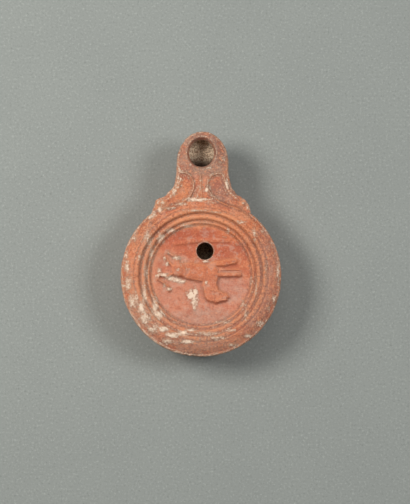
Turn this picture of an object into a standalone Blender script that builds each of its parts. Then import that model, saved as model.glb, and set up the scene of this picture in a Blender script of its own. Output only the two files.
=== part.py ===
# Roman oil lamp of fired clay, pressed in a two-part mould: a round bowl with a sunk, ringed discus and
# a rounded nozzle flanked by volutes. It is hollow, open at the filling hole and at the wick hole.
# Origin at the middle of the underside, +Z up, the nozzle towards +Y.

import math

import bpy
import bmesh
from mathutils import Vector
from mathutils.geometry import delaunay_2d_cdt

MM = 0.001

# Bowl
BODY_RADIUS = 36.1 * MM
SHOULDER_TOP = 25.6 * MM
SHOULDER_FALL = 2.7 * MM
BELT_HEIGHT = 17.0 * MM
BELT_BAND = 2.4 * MM
EDGE_ROUND = 1.3 * MM
WALL = 3.0 * MM
CEILING_ROUND = 0.8 * MM
BOWL_CURVE = 1.7

# Base disc
BASE_RADIUS = 19.4 * MM
FOOT_STEP = 0.8 * MM
FOOT_FLARE = 0.5 * MM
BASE_GROOVE_RADIUS = 16.4 * MM
BASE_GROOVE_WIDTH = 1.0 * MM
BASE_GROOVE_DEPTH = 0.4 * MM

# Discus and its rings
RING_OFFSET = 0.6 * MM
SHOULDER_WIDTH = 5.9 * MM
DISCUS_CENTRE_HEIGHT = 19.4 * MM
DISCUS_EDGE_HEIGHT = 21.9 * MM
RIDGE_WIDTH = 1.8 * MM
RIDGE_HEIGHT = 23.1 * MM
INNER_RING_WIDTH = 2.9 * MM
INNER_RING_HEIGHT = 24.5 * MM
OUTER_RING_WIDTH = 3.1 * MM
OUTER_RING_HEIGHT = 25.9 * MM
GROOVE_DEPTH = 0.7 * MM

# Nozzle
NOZZLE_REACH = 65.6 * MM
NOZZLE_HALF_WIDTH = 11.9 * MM
NOZZLE_TIP_LENGTH = 14.1 * MM
NOZZLE_SKEW = 0.7 * MM
NOZZLE_ROOT_HEIGHT = 24.2 * MM
NOZZLE_TIP_HEIGHT = 23.2 * MM
NOZZLE_CROWN = 0.5 * MM
NOZZLE_WALL = 2.4 * MM
KEEL_RISE = 10.6 * MM
KEEL_RUN = 15.0 * MM
KEEL_HALF_WIDTH = 3.0 * MM
KEEL_END = 12.5 * MM

# Holes
FILL_RADIUS = 3.6 * MM
FILL_X = 1.8 * MM
FILL_Y = 11.4 * MM
FILL_BEVEL = 0.3 * MM
WICK_HALF_WIDTH = 5.9 * MM
WICK_HALF_LENGTH = 6.5 * MM
WICK_X = 0.2 * MM
WICK_SETBACK = 10.0 * MM
WICK_BEVEL = 0.5 * MM
WICK_TAPER = 0.9

# Volutes
VOLUTE_HALF_WIDTH = 0.8 * MM
VOLUTE_HEIGHT = 0.75 * MM
RIM_HALF_WIDTH = 1.1 * MM
RIM_HEIGHT = 0.45 * MM

# Figure: a leaping beast, its length in shares of the discus radius
FIGURE_SPAN = 1.607
STROKE_FOOT = 1.12
EDGE_FALL = 1.5 * MM

# Fineness of the surface
RING_STEPS = 76
BODY_STEPS = 76
SIDE_STEPS = 28
DETAIL_SPACING = 1.1 * MM
FORM_SPACING = 1.5 * MM
PLAIN_SPACING = 2.3 * MM
HOLLOW_SPACING = 5.0 * MM

# Outline of the two shoulder lugs: degrees from the nozzle's axis, distance in shares of the body radius
LUG_RIGHT = [
    (38.6, 1.006), (36.4, 1.045), (33.6, 1.080), (30.4, 1.104),
    (27.4, 1.110), (24.8, 1.125), (21.6, 1.150),
]
LUG_LEFT = [
    (38.6, 1.003), (36.0, 1.030), (33.4, 1.062), (30.9, 1.106),
    (28.3, 1.108), (24.4, 1.100), (21.8, 1.128),
]

# Neck of the nozzle: half width in shares of the nozzle's, place between the body and the end curve
NECK = [(1.130, 0.27), (1.045, 0.50), (1.010, 0.74), (1.000, 1.0)]

# Volute lines: across in shares of the nozzle's half width, along in shares of the neck's run
VOLUTE_LEFT = [
    (-0.86, 0.597), (-0.79, 0.800), (-0.50, 0.764), (-0.36, 0.597), (-0.28, 0.417),
    (-0.31, 0.167), (-0.48, -0.097), (-0.78, -0.250), (-1.10, -0.411), (-1.36, -0.467),
]
VOLUTE_RIGHT = [
    (0.92, 0.528), (0.80, 0.728), (0.58, 0.750), (0.36, 0.653), (0.25, 0.444), (0.27, 0.250),
    (0.34, 0.111), (0.52, -0.083), (0.72, -0.208), (0.98, -0.328), (1.24, -0.389), (1.46, -0.478),
]
STEM = [(0.00, 0.708, 0.05), (-0.02, 0.305, 0.09), (-0.05, -0.014, 0.17)]
LUG_KNOBS = [(-1.42, -0.253, 0.12, 0.9), (1.55, -0.261, 0.14, 1.1)]

# The beast's strokes: points as (x, y, half width, height) in shares of the figure's length
BEAST = {
    "barrel": [
        (-0.270, 0.085, 0.092, 0.036), (-0.140, 0.068, 0.112, 0.042),
        (0.000, 0.045, 0.118, 0.042), (0.120, 0.040, 0.110, 0.042),
    ],
    "haunch": [(-0.285, 0.080, 0.098, 0.047), (-0.255, 0.105, 0.080, 0.044)],
    "neck": [(0.125, 0.020, 0.106, 0.047), (0.105, -0.110, 0.102, 0.050), (0.140, -0.225, 0.108, 0.053)],
    "head": [(0.205, -0.253, 0.098, 0.056), (0.290, -0.262, 0.066, 0.044)],
    "shoulder": [(0.150, 0.005, 0.075, 0.047), (0.185, 0.030, 0.055, 0.044)],
    "foreleg_near": [
        (0.190, 0.032, 0.037, 0.039), (0.335, 0.029, 0.034, 0.036), (0.480, 0.031, 0.034, 0.036),
    ],
    "foreleg_edge": [(0.250, 0.080, 0.017, 0.020), (0.475, 0.080, 0.017, 0.020)],
    "foreleg_far": [
        (0.130, 0.150, 0.034, 0.028), (0.285, 0.173, 0.040, 0.031), (0.420, 0.204, 0.036, 0.028),
    ],
    "thigh": [(-0.290, 0.120, 0.060, 0.042), (-0.305, 0.228, 0.042, 0.031)],
    "hind_foot": [(-0.305, 0.235, 0.036, 0.028), (-0.410, 0.293, 0.026, 0.022)],
    "hind_far": [
        (-0.340, 0.115, 0.040, 0.033), (-0.398, 0.175, 0.026, 0.025), (-0.438, 0.230, 0.025, 0.022),
    ],
    "tail": [
        (-0.335, 0.040, 0.028, 0.030), (-0.420, -0.004, 0.025, 0.028), (-0.515, 0.008, 0.023, 0.026),
        (-0.535, -0.038, 0.022, 0.024), (-0.470, -0.080, 0.022, 0.024), (-0.410, -0.128, 0.023, 0.026),
        (-0.394, -0.178, 0.030, 0.028),
    ],
    "ground": [(-0.310, 0.420, 0.018, 0.014), (0.000, 0.452, 0.018, 0.014), (0.340, 0.440, 0.018, 0.014)],
}

WICK_Y = NOZZLE_REACH - WICK_SETBACK
TIP_CENTRE = NOZZLE_REACH - NOZZLE_TIP_LENGTH
NECK_RUN = WICK_Y - WICK_HALF_LENGTH - BODY_RADIUS
FOOT_RADIUS = BASE_RADIUS + FOOT_FLARE
DISCUS_RADIUS = BODY_RADIUS - SHOULDER_WIDTH - OUTER_RING_WIDTH - INNER_RING_WIDTH - RIDGE_WIDTH
FIGURE_LENGTH = FIGURE_SPAN * DISCUS_RADIUS
RIDGE_END = DISCUS_RADIUS + RIDGE_WIDTH
INNER_RING_END = RIDGE_END + INNER_RING_WIDTH
OUTER_RING_END = INNER_RING_END + OUTER_RING_WIDTH


def clear_scene():
    for item in list(bpy.data.objects):
        bpy.data.objects.remove(item, do_unlink=True)


def mix(a, b, share):
    return a + (b - a) * share


def ease(low, high, value):
    share = min(1.0, max(0.0, (value - low) / (high - low)))
    return share * share * (3.0 - 2.0 * share)


def ladder(steps, value):
    """Height at a value, read along a list of (value, height) steps."""
    if value <= steps[0][0]:
        return steps[0][1]
    for (low, start), (high, end) in zip(steps, steps[1:]):
        if value <= high:
            return mix(start, end, (value - low) / (high - low))
    return steps[-1][1]


def curve_through(points, count):
    """Points spaced evenly along a smooth curve through the given points, both ends kept."""
    ends = [2 * points[0] - points[1]] + list(points) + [2 * points[-1] - points[-2]]
    fine = []
    for a, b, c, d in zip(ends, ends[1:], ends[2:], ends[3:]):
        for step in range(16):
            t = step / 16
            square = 2 * a - 5 * b + 4 * c - d
            cube = 3 * b - a - 3 * c + d
            fine.append(0.5 * (2 * b + (c - a) * t + square * t * t + cube * t ** 3))
    fine.append(points[-1])
    run = [0.0]
    for a, b in zip(fine, fine[1:]):
        run.append(run[-1] + (b - a).length)
    out = []
    place = 0
    for step in range(count + 1):
        want = run[-1] * step / count
        while place < len(run) - 2 and run[place + 1] < want:
            place += 1
        share = (want - run[place]) / max(run[place + 1] - run[place], 1e-12)
        out.append(fine[place].lerp(fine[place + 1], min(1.0, max(0.0, share))))
    return out


def polar(degrees_from_axis, radius):
    angle = math.radians(degrees_from_axis)
    return Vector((radius * math.sin(angle), radius * math.cos(angle)))


def outer_side(hand):
    """One side of the outline, from the bowl's edge over the lug and along the nozzle to its tip."""
    lug = LUG_RIGHT if hand > 0 else LUG_LEFT
    points = [polar(hand * angle, share * BODY_RADIUS) for angle, share in lug]
    for share, place in NECK:
        x = NOZZLE_SKEW + hand * share * NOZZLE_HALF_WIDTH
        points.append(Vector((x, mix(BODY_RADIUS, TIP_CENTRE, place))))
    for step in range(1, 9):
        angle = math.radians(90 * step / 8)
        x = NOZZLE_SKEW + hand * NOZZLE_HALF_WIDTH * math.cos(angle)
        points.append(Vector((x, TIP_CENTRE + NOZZLE_TIP_LENGTH * math.sin(angle))))
    return curve_through(points, SIDE_STEPS)


def axis_at(y):
    """Sideways place of the nozzle's middle line, which leaves the bowl's axis little by little."""
    return NOZZLE_SKEW * ease(0.8 * BODY_RADIUS, TIP_CENTRE, y)


def inner_side(hand):
    """One side of the hollow's outline: bowl, a round fillet, nozzle and tip."""
    radius = BODY_RADIUS - WALL
    half = NOZZLE_HALF_WIDTH - NOZZLE_WALL
    fillet = 2.5 * WALL
    middle = Vector((half + fillet, math.sqrt((radius + fillet) ** 2 - (half + fillet) ** 2)))
    start = math.atan2(middle.y, middle.x)
    points = []
    for step in range(5):
        angle = mix(start, 0.0, step / 4)
        spot = middle - Vector((math.cos(angle), math.sin(angle))) * fillet
        points.append(spot)
    points.append(Vector((half, mix(points[-1].y, TIP_CENTRE, 0.5))))
    for step in range(7):
        angle = math.radians(90 * step / 6)
        along = (NOZZLE_TIP_LENGTH - NOZZLE_WALL) * math.sin(angle)
        points.append(Vector((half * math.cos(angle), TIP_CENTRE + along)))
    points = [Vector((hand * p.x + axis_at(p.y), p.y)) for p in points]
    return curve_through(points, SIDE_STEPS // 2)


def whole_outline(side, steps):
    """Closed outline, from the tip round by the right side and the bowl back to the tip."""
    right = side(1)
    left = side(-1)
    first = math.atan2(right[0].y, right[0].x)
    last = math.atan2(left[0].y, left[0].x) - 2 * math.pi
    radius_right = right[0].length
    radius_left = left[0].length
    arc = []
    for step in range(1, steps):
        share = step / steps
        angle = mix(first, last, share)
        radius = mix(radius_right, radius_left, share)
        arc.append(Vector((radius * math.cos(angle), radius * math.sin(angle))))
    return list(reversed(right)) + arc + left[:-1]


def inset(loop, amount):
    """The loop moved inwards by a small amount."""
    out = []
    for place, point in enumerate(loop):
        along = loop[(place + 1) % len(loop)] - loop[place - 1]
        normal = Vector((along.y, -along.x)).normalized()
        out.append(point + normal * amount)
    return out


def runs_from_tip(loop):
    """For each point of an outline its distance from the tip, measured along the nearer side."""
    run = [0.0]
    for a, b in zip(loop, loop[1:] + loop[:1]):
        run.append(run[-1] + (b - a).length)
    return [min(length, run[-1] - length) for length in run[:-1]]


def feet_of(loop, foot_radius, half_width, end):
    """For each point of an outline the point of the base disc or of the keel band below it."""
    top = max(p.y for p in loop)
    corner = math.sqrt(foot_radius ** 2 - half_width ** 2)
    out = []
    lug_y = BODY_RADIUS * math.cos(math.radians(LUG_RIGHT[0][0]))
    bowl = max(p.length for p in loop if p.y <= lug_y)
    low = lug_y * foot_radius / bowl
    runs = runs_from_tip(loop)
    longest = max(run for p, run in zip(loop, runs) if p.y > lug_y)
    for p, run in zip(loop, runs):
        if p.y <= lug_y:
            out.append(p.normalized() * foot_radius)
            continue
        climb = mix((p.y - lug_y) / (top - lug_y), 1.0 - run / longest, 0.25)
        y = mix(low, end + half_width, climb)
        if y <= corner:
            x = math.sqrt(max(0.0, foot_radius ** 2 - y * y))
        elif y <= end:
            x = half_width
        else:
            x = math.sqrt(max(0.0, half_width ** 2 - (y - end) ** 2))
        side = 1.0 if p.x > axis_at(p.y) else -1.0
        out.append(Vector((side * x, y)))
    return out


def keel(y, start):
    """Rise of the nozzle's underside above the foot of the bowl."""
    if y <= start:
        return 0.0
    return KEEL_RISE * (1.0 - math.exp(-(y - start) / KEEL_RUN))


def stroke_height(x, y, stroke):
    """Height of a tapering raised stroke at a point."""
    best = 0.0
    for (ax, ay, aw, ah), (bx, by, bw, bh) in zip(stroke, stroke[1:]):
        dx = bx - ax
        dy = by - ay
        share = ((x - ax) * dx + (y - ay) * dy) / (dx * dx + dy * dy)
        share = min(1.0, max(0.0, share))
        width = mix(aw, bw, share)
        away = math.hypot(x - ax - share * dx, y - ay - share * dy) / width
        if away < STROKE_FOOT:
            edge = 1.0 - ease(crest_of(width), STROKE_FOOT, away)
            dome = math.sqrt(1.0 - (away / STROKE_FOOT) ** 2)
            best = max(best, mix(ah, bh, share) * edge * mix(0.65, 1.0, dome))
    return best


def crest_of(width):
    """Share of a stroke's half width at which its edge begins to fall."""
    return max(0.25, STROKE_FOOT - EDGE_FALL / width)


def figure_strokes():
    unit = FIGURE_LENGTH
    return [[tuple(unit * value for value in point) for point in stroke] for stroke in BEAST.values()]


def neck_spot(across, along):
    return Vector((across * NOZZLE_HALF_WIDTH, BODY_RADIUS + along * NECK_RUN))


def volute_strokes():
    """Volute lines, the stem between them, the rims of the neck and the two knobs on the lugs."""
    out = []
    for line in (VOLUTE_LEFT, VOLUTE_RIGHT):
        smooth = curve_through([neck_spot(x, y) for x, y in line], 3 * len(line))
        out.append([(p.x, p.y, VOLUTE_HALF_WIDTH, VOLUTE_HEIGHT) for p in smooth])
    out.append([(*neck_spot(x, y), w * NOZZLE_HALF_WIDTH, 0.8 * VOLUTE_HEIGHT) for x, y, w in STEM])
    for x, y, w, h in LUG_KNOBS:
        spot = neck_spot(x, y)
        size = w * NOZZLE_HALF_WIDTH
        knob = (size, h * VOLUTE_HEIGHT)
        out.append([(spot.x, spot.y, *knob), (spot.x + 0.1 * size, spot.y, *knob)])
    for side, turn in ((outer_side(1), 1), (outer_side(-1), -1)):
        rim = []
        for a, b in zip(side, side[1:]):
            if 0.95 * BODY_RADIUS < a.y < TIP_CENTRE - 0.3 * NOZZLE_TIP_LENGTH:
                inward = Vector((a.y - b.y, b.x - a.x)).normalized() * turn
                spot = a + inward * (EDGE_ROUND + RIM_HALF_WIDTH)
                rim.append((spot.x, spot.y, RIM_HALF_WIDTH, RIM_HEIGHT))
        out.append(rim)
    return out


FIGURE = figure_strokes()
VOLUTES = volute_strokes()
RING_PROFILE = [
    (0.0, DISCUS_CENTRE_HEIGHT),
    (0.5 * DISCUS_RADIUS, mix(DISCUS_CENTRE_HEIGHT, DISCUS_EDGE_HEIGHT, 0.22)),
    (0.8 * DISCUS_RADIUS, mix(DISCUS_CENTRE_HEIGHT, DISCUS_EDGE_HEIGHT, 0.62)),
    (DISCUS_RADIUS, DISCUS_EDGE_HEIGHT),
    (DISCUS_RADIUS + 0.45 * RIDGE_WIDTH, RIDGE_HEIGHT),
    (DISCUS_RADIUS + 0.80 * RIDGE_WIDTH, RIDGE_HEIGHT),
    (RIDGE_END, RIDGE_HEIGHT - GROOVE_DEPTH),
    (RIDGE_END + 0.22 * INNER_RING_WIDTH, mix(RIDGE_HEIGHT, INNER_RING_HEIGHT, 0.7)),
    (RIDGE_END + 0.45 * INNER_RING_WIDTH, INNER_RING_HEIGHT),
    (RIDGE_END + 0.80 * INNER_RING_WIDTH, INNER_RING_HEIGHT),
    (INNER_RING_END, INNER_RING_HEIGHT - GROOVE_DEPTH),
    (INNER_RING_END + 0.22 * OUTER_RING_WIDTH, mix(INNER_RING_HEIGHT, OUTER_RING_HEIGHT, 0.7)),
    (INNER_RING_END + 0.45 * OUTER_RING_WIDTH, OUTER_RING_HEIGHT),
    (INNER_RING_END + 0.78 * OUTER_RING_WIDTH, OUTER_RING_HEIGHT - 0.2 * GROOVE_DEPTH),
    (OUTER_RING_END, SHOULDER_TOP - 0.3 * GROOVE_DEPTH),
    (OUTER_RING_END + 0.15 * OUTER_RING_WIDTH, SHOULDER_TOP),
    (mix(OUTER_RING_END, BODY_RADIUS, 0.5), SHOULDER_TOP - 0.3 * SHOULDER_FALL),
    (BODY_RADIUS, SHOULDER_TOP - SHOULDER_FALL),
]


def nozzle_height(x, y):
    top = mix(NOZZLE_ROOT_HEIGHT, NOZZLE_TIP_HEIGHT, (y - BODY_RADIUS) / (NOZZLE_REACH - BODY_RADIUS))
    across = min(1.5, abs(x - NOZZLE_SKEW) / NOZZLE_HALF_WIDTH)
    return top - NOZZLE_CROWN * across * across


def top_height(x, y):
    """Height of the upper face."""
    radius = math.hypot(x, y - RING_OFFSET)
    height = ladder(RING_PROFILE, radius)
    if y > 0.5 * BODY_RADIUS:
        leaf = ease(0.925 * BODY_RADIUS, 0.965 * BODY_RADIUS, radius)
        height = mix(height, nozzle_height(x, y), leaf * ease(0.62 * BODY_RADIUS, 0.78 * BODY_RADIUS, y))
        height += max(stroke_height(x, y, stroke) for stroke in VOLUTES)
    if radius < DISCUS_RADIUS:
        at_edge = ease(0.0, 0.06, 1.0 - radius / DISCUS_RADIUS)
        height += max(stroke_height(x, y, stroke) for stroke in FIGURE) * at_edge
    return height


def ceiling_height(x, y):
    """Height of the hollow's ceiling."""
    radius = math.hypot(x, y)
    bowl = ladder(
        [
            (0.0, DISCUS_CENTRE_HEIGHT - WALL),
            (DISCUS_RADIUS, DISCUS_EDGE_HEIGHT - WALL),
            (OUTER_RING_END, SHOULDER_TOP - WALL),
            (BODY_RADIUS - WALL, SHOULDER_TOP - 0.6 * SHOULDER_FALL - WALL),
        ],
        radius,
    )
    leaf = ease(0.85 * BODY_RADIUS, 1.0 * BODY_RADIUS, y)
    return mix(bowl, nozzle_height(x, y) - NOZZLE_WALL, leaf)


def base_height(x, y):
    """Height of the underside within the base disc and the keel band."""
    radius = math.hypot(x, y)
    if radius > FOOT_RADIUS - 1e-7:
        return FOOT_STEP + keel(y, FOOT_RADIUS)
    half = 0.5 * BASE_GROOVE_WIDTH
    return ladder(
        [
            (BASE_GROOVE_RADIUS - half, 0.0),
            (BASE_GROOVE_RADIUS, BASE_GROOVE_DEPTH),
            (BASE_GROOVE_RADIUS + half, 0.0),
            (BASE_RADIUS, 0.0),
            (FOOT_RADIUS, FOOT_STEP),
        ],
        radius,
    )


def circle(radius, count, middle=(0.0, 0.0), stretch=1.0):
    out = []
    for step in range(count):
        angle = 2 * math.pi * step / count
        across = middle[0] + radius * math.cos(angle)
        out.append(Vector((across, middle[1] + radius * stretch * math.sin(angle))))
    return out


def inside(point, loop):
    hit = False
    for a, b in zip(loop, loop[1:] + loop[:1]):
        if (a.y > point.y) != (b.y > point.y):
            if point.x < a.x + (point.y - a.y) / (b.y - a.y) * (b.x - a.x):
                hit = not hit
    return hit


def gap_to(point, loop, closed=True):
    """Shortest distance from a point to a line of points."""
    best = 1.0
    ends = loop[1:] + loop[:1] if closed else loop[1:]
    for a, b in zip(loop, ends):
        along = b - a
        share = min(1.0, max(0.0, (point - a).dot(along) / max(along.length_squared, 1e-18)))
        best = min(best, (point - a - along * share).length)
    return best


def scatter(spacing, low, high):
    """Rows of points, every other row shifted by half a step."""
    out = []
    rows = int((high.y - low.y) / (spacing * 0.866)) + 1
    columns = int((high.x - low.x) / spacing) + 2
    for row in range(rows):
        for column in range(columns):
            x = low.x + (column + 0.5 * (row % 2)) * spacing
            out.append(Vector((x, low.y + row * spacing * 0.866)))
    return out


def covered(spot, own, strokes, limit):
    return any(stroke_height(spot.x, spot.y, other) > limit for other in strokes if other is not own)


def around_stroke(stroke, row, step):
    """Closed line round a stroke, at its foot or at the edge of its crest."""
    ways = []
    for way in (stroke, stroke[::-1]):
        side = []
        for (ax, ay, aw, _), (bx, by, bw, _) in zip(way, way[1:]):
            a = Vector((ax, ay))
            along = Vector((bx, by)) - a
            across = Vector((-along.y, along.x)).normalized()
            count = max(1, round(along.length / step))
            for n in range(count + 1):
                width = mix(aw, bw, n / count)
                out = (STROKE_FOOT if row == "foot" else crest_of(width)) * width
                side.append(a + along * (n / count) + across * out)
        (ax, ay, aw, _), (bx, by, _, _) = way[-1], way[-2]
        reach = (STROKE_FOOT if row == "foot" else crest_of(aw)) * aw
        heading = math.atan2(ay - by, ax - bx)
        count = max(2, round(math.pi * reach / step))
        for n in range(1, count):
            turn = heading + math.pi * (0.5 - n / count)
            side.append(Vector((ax + reach * math.cos(turn), ay + reach * math.sin(turn))))
        ways += side
    return ways


def stroke_lines(strokes, step):
    """Lines along the feet and crest edges of strokes, broken where another stroke lies over them."""
    lines = []
    for row in ("foot", "crest"):
        for stroke in strokes:
            limit = (0.12 if row == "foot" else 0.8) * stroke[0][3]
            run = []
            for spot in around_stroke(stroke, row, step):
                if covered(spot, stroke, strokes, limit):
                    if len(run) > 1:
                        lines.append((run, False))
                    run = []
                elif not run or (spot - run[-1]).length > 0.55 * step:
                    run.append(spot)
            if len(run) > 1:
                lines.append((run, False))
    return lines


def fill_spots(lines, strokes, low, high):
    """Rows of points between the lines, closer together on the raised forms."""
    out = []
    for spacing, raised in ((FORM_SPACING, True), (PLAIN_SPACING, False)):
        for p in scatter(spacing, low, high):
            height = max(stroke_height(p.x, p.y, stroke) for stroke in strokes)
            if (height > 0.0) == raised and all(gap_to(p, *line) > 0.55 * spacing for line in lines):
                out.append(p)
    return out


class Body:
    """Points and triangles of the lamp, points at one place being one point."""

    def __init__(self):
        self.points = []
        self.faces = []
        self.known = {}

    def put(self, x, y, z):
        key = (round(x * 1e8), round(y * 1e8), round(z * 1e8))
        if key not in self.known:
            self.known[key] = len(self.points)
            self.points.append((x, y, z))
        return self.known[key]

    def face(self, corners):
        corners = [c for place, c in enumerate(corners) if c != corners[place - 1]]
        if len(corners) > 2:
            self.faces.append(corners)

    def sheet(self, border, holes, lines, loose, height, upward):
        """A surface over a plan region, bounded by the border and by the holes."""
        spots = []
        edges = []
        for loop, closed in [(border, True)] + [(h, True) for h in holes] + lines:
            start = len(spots)
            spots += loop
            edges += [(start + n, start + n + 1) for n in range(len(loop) - 1)]
            if closed:
                edges.append((start + len(loop) - 1, start))
        spots += loose
        scaled = [Vector((p.x / MM, p.y / MM)) for p in spots]
        made, _, faces, origin, _, _ = delaunay_2d_cdt(scaled, edges, [], 0, 1e-4, True)
        numbers = []
        plan = []
        for point, source in zip(made, origin):
            p = spots[source[0]] if source else Vector((point.x * MM, point.y * MM))
            plan.append(p)
            numbers.append(self.put(p.x, p.y, height(p.x, p.y)))
        for face in faces:
            middle = sum((plan[n] for n in face), Vector((0.0, 0.0))) / len(face)
            if not inside(middle, border) or any(inside(middle, h) for h in holes):
                continue
            a, b, c = (plan[n] for n in face[:3])
            turn = (b.x - a.x) * (c.y - a.y) - (b.y - a.y) * (c.x - a.x)
            corners = [numbers[n] for n in face]
            self.face(corners if (turn > 0) == upward else corners[::-1])

    def loft(self, loops):
        """Bands of triangles between loops with the same number of points."""
        rows = [[self.put(*p) for p in loop] for loop in loops]
        for upper, lower in zip(rows, rows[1:]):
            for n in range(len(upper)):
                m = (n + 1) % len(upper)
                self.face([upper[n], upper[m], lower[m]])
                self.face([upper[n], lower[m], lower[n]])


def level(loop, height):
    return [(p.x, p.y, height(p.x, p.y) if callable(height) else height) for p in loop]


def sides_down(loop, feet, start_height, foot_height, shares):
    """Loops from the belt down to the feet along a full, rounded curve."""
    out = []
    for share in shares:
        drop = 1.0 - (1.0 - share ** BOWL_CURVE) ** (1.0 / BOWL_CURVE)
        row = []
        for p, f in zip(loop, feet):
            spot = f.lerp(p, share) if share < 1.0 else p
            if share == 0.0:
                spot = f
            low = foot_height(f.x, f.y)
            row.append((spot.x, spot.y, mix(low, start_height, drop)))
        out.append(row)
    return out


def clipped(line, keep):
    """The parts of a line that pass a test at their points and half way between, as open lines."""
    out = []
    run = []
    for p in line:
        passes = keep(p)
        if run and not (passes and keep(0.5 * (p + run[-1]))):
            if len(run) > 1:
                out.append((run, False))
            run = []
        if passes:
            run.append(p)
    if len(run) > 1:
        out.append((run, False))
    return out


def clipped_ring(ring, keep):
    """A closed line, or its parts where some of its points fail the test."""
    failing = [place for place, p in enumerate(ring) if not keep(p)]
    if not failing:
        return [(ring, True)]
    return clipped(ring[failing[0]:] + ring[:failing[0]], keep)


def free_points(candidates, border, holes, lines, clear):
    out = []
    for p in candidates:
        if not inside(p, border) or gap_to(p, border) < clear:
            continue
        if any(inside(p, h) or gap_to(p, h) < clear for h in holes):
            continue
        if any(gap_to(p, line, closed) < clear for line, closed in lines):
            continue
        out.append(p)
    return out


def build_body():
    body = Body()

    # Upper face with rings, figure and volutes
    outline = whole_outline(outer_side, BODY_STEPS)
    top_edge = inset(outline, EDGE_ROUND)
    stretch = WICK_HALF_LENGTH / WICK_HALF_WIDTH
    fill = circle(FILL_RADIUS, 24, (FILL_X, FILL_Y))
    fill_mouth = circle(FILL_RADIUS + FILL_BEVEL, 24, (FILL_X, FILL_Y))
    wick = circle(WICK_HALF_WIDTH, 32, (WICK_X, WICK_Y), stretch)
    wick_mouth = circle(WICK_HALF_WIDTH + WICK_BEVEL, 32, (WICK_X, WICK_Y), stretch)
    wick_exit = circle(WICK_TAPER * WICK_HALF_WIDTH, 32, (WICK_X, WICK_Y), stretch)
    centre = Vector((0.0, RING_OFFSET))
    rings_end = OUTER_RING_END + 0.3 * OUTER_RING_WIDTH

    def on_face(p):
        if not inside(p, top_edge) or gap_to(p, top_edge) < EDGE_ROUND / 3:
            return False
        return not any(inside(p, h) or gap_to(p, h) < EDGE_FALL / 3 for h in (fill_mouth, wick_mouth))

    def on_discus(p):
        near = (p - centre).length < 0.97 * DISCUS_RADIUS
        return near and gap_to(p, fill_mouth) > EDGE_FALL and on_face(p)

    def on_neck(p):
        return (p - centre).length > rings_end and on_face(p)

    def on_shoulder(p):
        return p.y < 0.78 * BODY_RADIUS and on_face(p)

    lines = []
    for radius, _ in RING_PROFILE[3:-1]:
        ring = circle(radius, RING_STEPS, centre)
        lines += clipped_ring(ring, on_shoulder if radius > rings_end else on_face)
    drawn = [part for line in stroke_lines(FIGURE, DETAIL_SPACING) for part in clipped(line[0], on_discus)]
    reach = Vector((DISCUS_RADIUS, DISCUS_RADIUS))
    relief = fill_spots(drawn, FIGURE, centre - reach, centre + reach)
    relief = [p for p in relief if (p - centre).length < DISCUS_RADIUS]
    lines += drawn
    drawn = [part for line in stroke_lines(VOLUTES, DETAIL_SPACING) for part in clipped(line[0], on_neck)]
    corner = Vector((BODY_RADIUS, 0.7 * BODY_RADIUS))
    neck = fill_spots(drawn, VOLUTES, Vector((-corner.x, corner.y)), Vector((corner.x, NOZZLE_REACH)))
    relief += [p for p in neck if (p - centre).length > rings_end]
    lines += drawn
    relief = free_points(relief, top_edge, [fill_mouth, wick_mouth], lines, 0.6 * DETAIL_SPACING)
    body.sheet(top_edge, [fill_mouth, wick_mouth], lines, relief, top_height, True)

    # Rounded edge, belt and the curved wall down to the foot
    rim = level(top_edge, top_height)
    turned = []
    for back, fall in ((0.5 * EDGE_ROUND, 0.28 * EDGE_ROUND), (0.13 * EDGE_ROUND, 0.95 * EDGE_ROUND)):
        turned.append([(p.x, p.y, z - fall) for p, (_, _, z) in zip(inset(outline, back), rim)])
    belt = level(outline, BELT_HEIGHT + BELT_BAND)
    feet = feet_of(outline, FOOT_RADIUS, KEEL_HALF_WIDTH, NOZZLE_REACH - KEEL_END)
    shares = [1.0, 0.965, 0.88, 0.74, 0.54, 0.28, 0.0]
    body.loft([rim] + turned + [belt] + sides_down(outline, feet, BELT_HEIGHT, base_height, shares))

    # Underside: base disc with its groove, keel band of the nozzle
    half = 0.5 * BASE_GROOVE_WIDTH
    discs = [(circle(r, 64), True) for r in (BASE_RADIUS, BASE_GROOVE_RADIUS + half, BASE_GROOVE_RADIUS)]
    discs.append((circle(BASE_GROOVE_RADIUS - half, 64), True))
    corner = math.asin(KEEL_HALF_WIDTH / FOOT_RADIUS)
    step_arc = [polar(math.degrees(mix(-corner, corner, n / 4)), FOOT_RADIUS) for n in range(1, 4)]
    lines = discs + [(step_arc, False)]
    keel_line = []
    count = 12
    for n in range(1, count):
        keel_line.append(Vector((0.0, mix(FOOT_RADIUS, NOZZLE_REACH - KEEL_END, n / count))))
    low = Vector((-BASE_RADIUS, -BASE_RADIUS))
    hub = scatter(0.3 * BASE_GROOVE_RADIUS, low, -low)
    hub = [p for p in hub if p.length < 0.85 * BASE_GROOVE_RADIUS]
    body.sheet(feet, [], lines, keel_line + hub, base_height, False)

    # Hollow
    hollow = whole_outline(inner_side, BODY_STEPS // 2)
    ceiling_edge = inset(hollow, CEILING_ROUND)
    low = Vector((-BODY_RADIUS, -BODY_RADIUS))
    high = Vector((BODY_RADIUS, NOZZLE_REACH))
    spread = scatter(HOLLOW_SPACING, low, high)
    spread = free_points(spread, ceiling_edge, [fill, wick_exit], [], 0.4 * HOLLOW_SPACING)
    body.sheet(ceiling_edge, [fill, wick_exit], [], spread, ceiling_height, False)
    rim = level(ceiling_edge, ceiling_height)
    bend_edge = inset(hollow, 0.3 * CEILING_ROUND)
    bend = [(p.x, p.y, z - 0.35 * CEILING_ROUND) for p, (_, _, z) in zip(bend_edge, rim)]
    floor_radius = FOOT_RADIUS - 0.8 * WALL
    floor_end = NOZZLE_REACH - KEEL_END - 0.5 * WALL
    inner_feet = feet_of(hollow, floor_radius, 0.8 * KEEL_HALF_WIDTH, floor_end)

    def floor_height(x, y):
        return WALL + keel(y, floor_radius)

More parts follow.
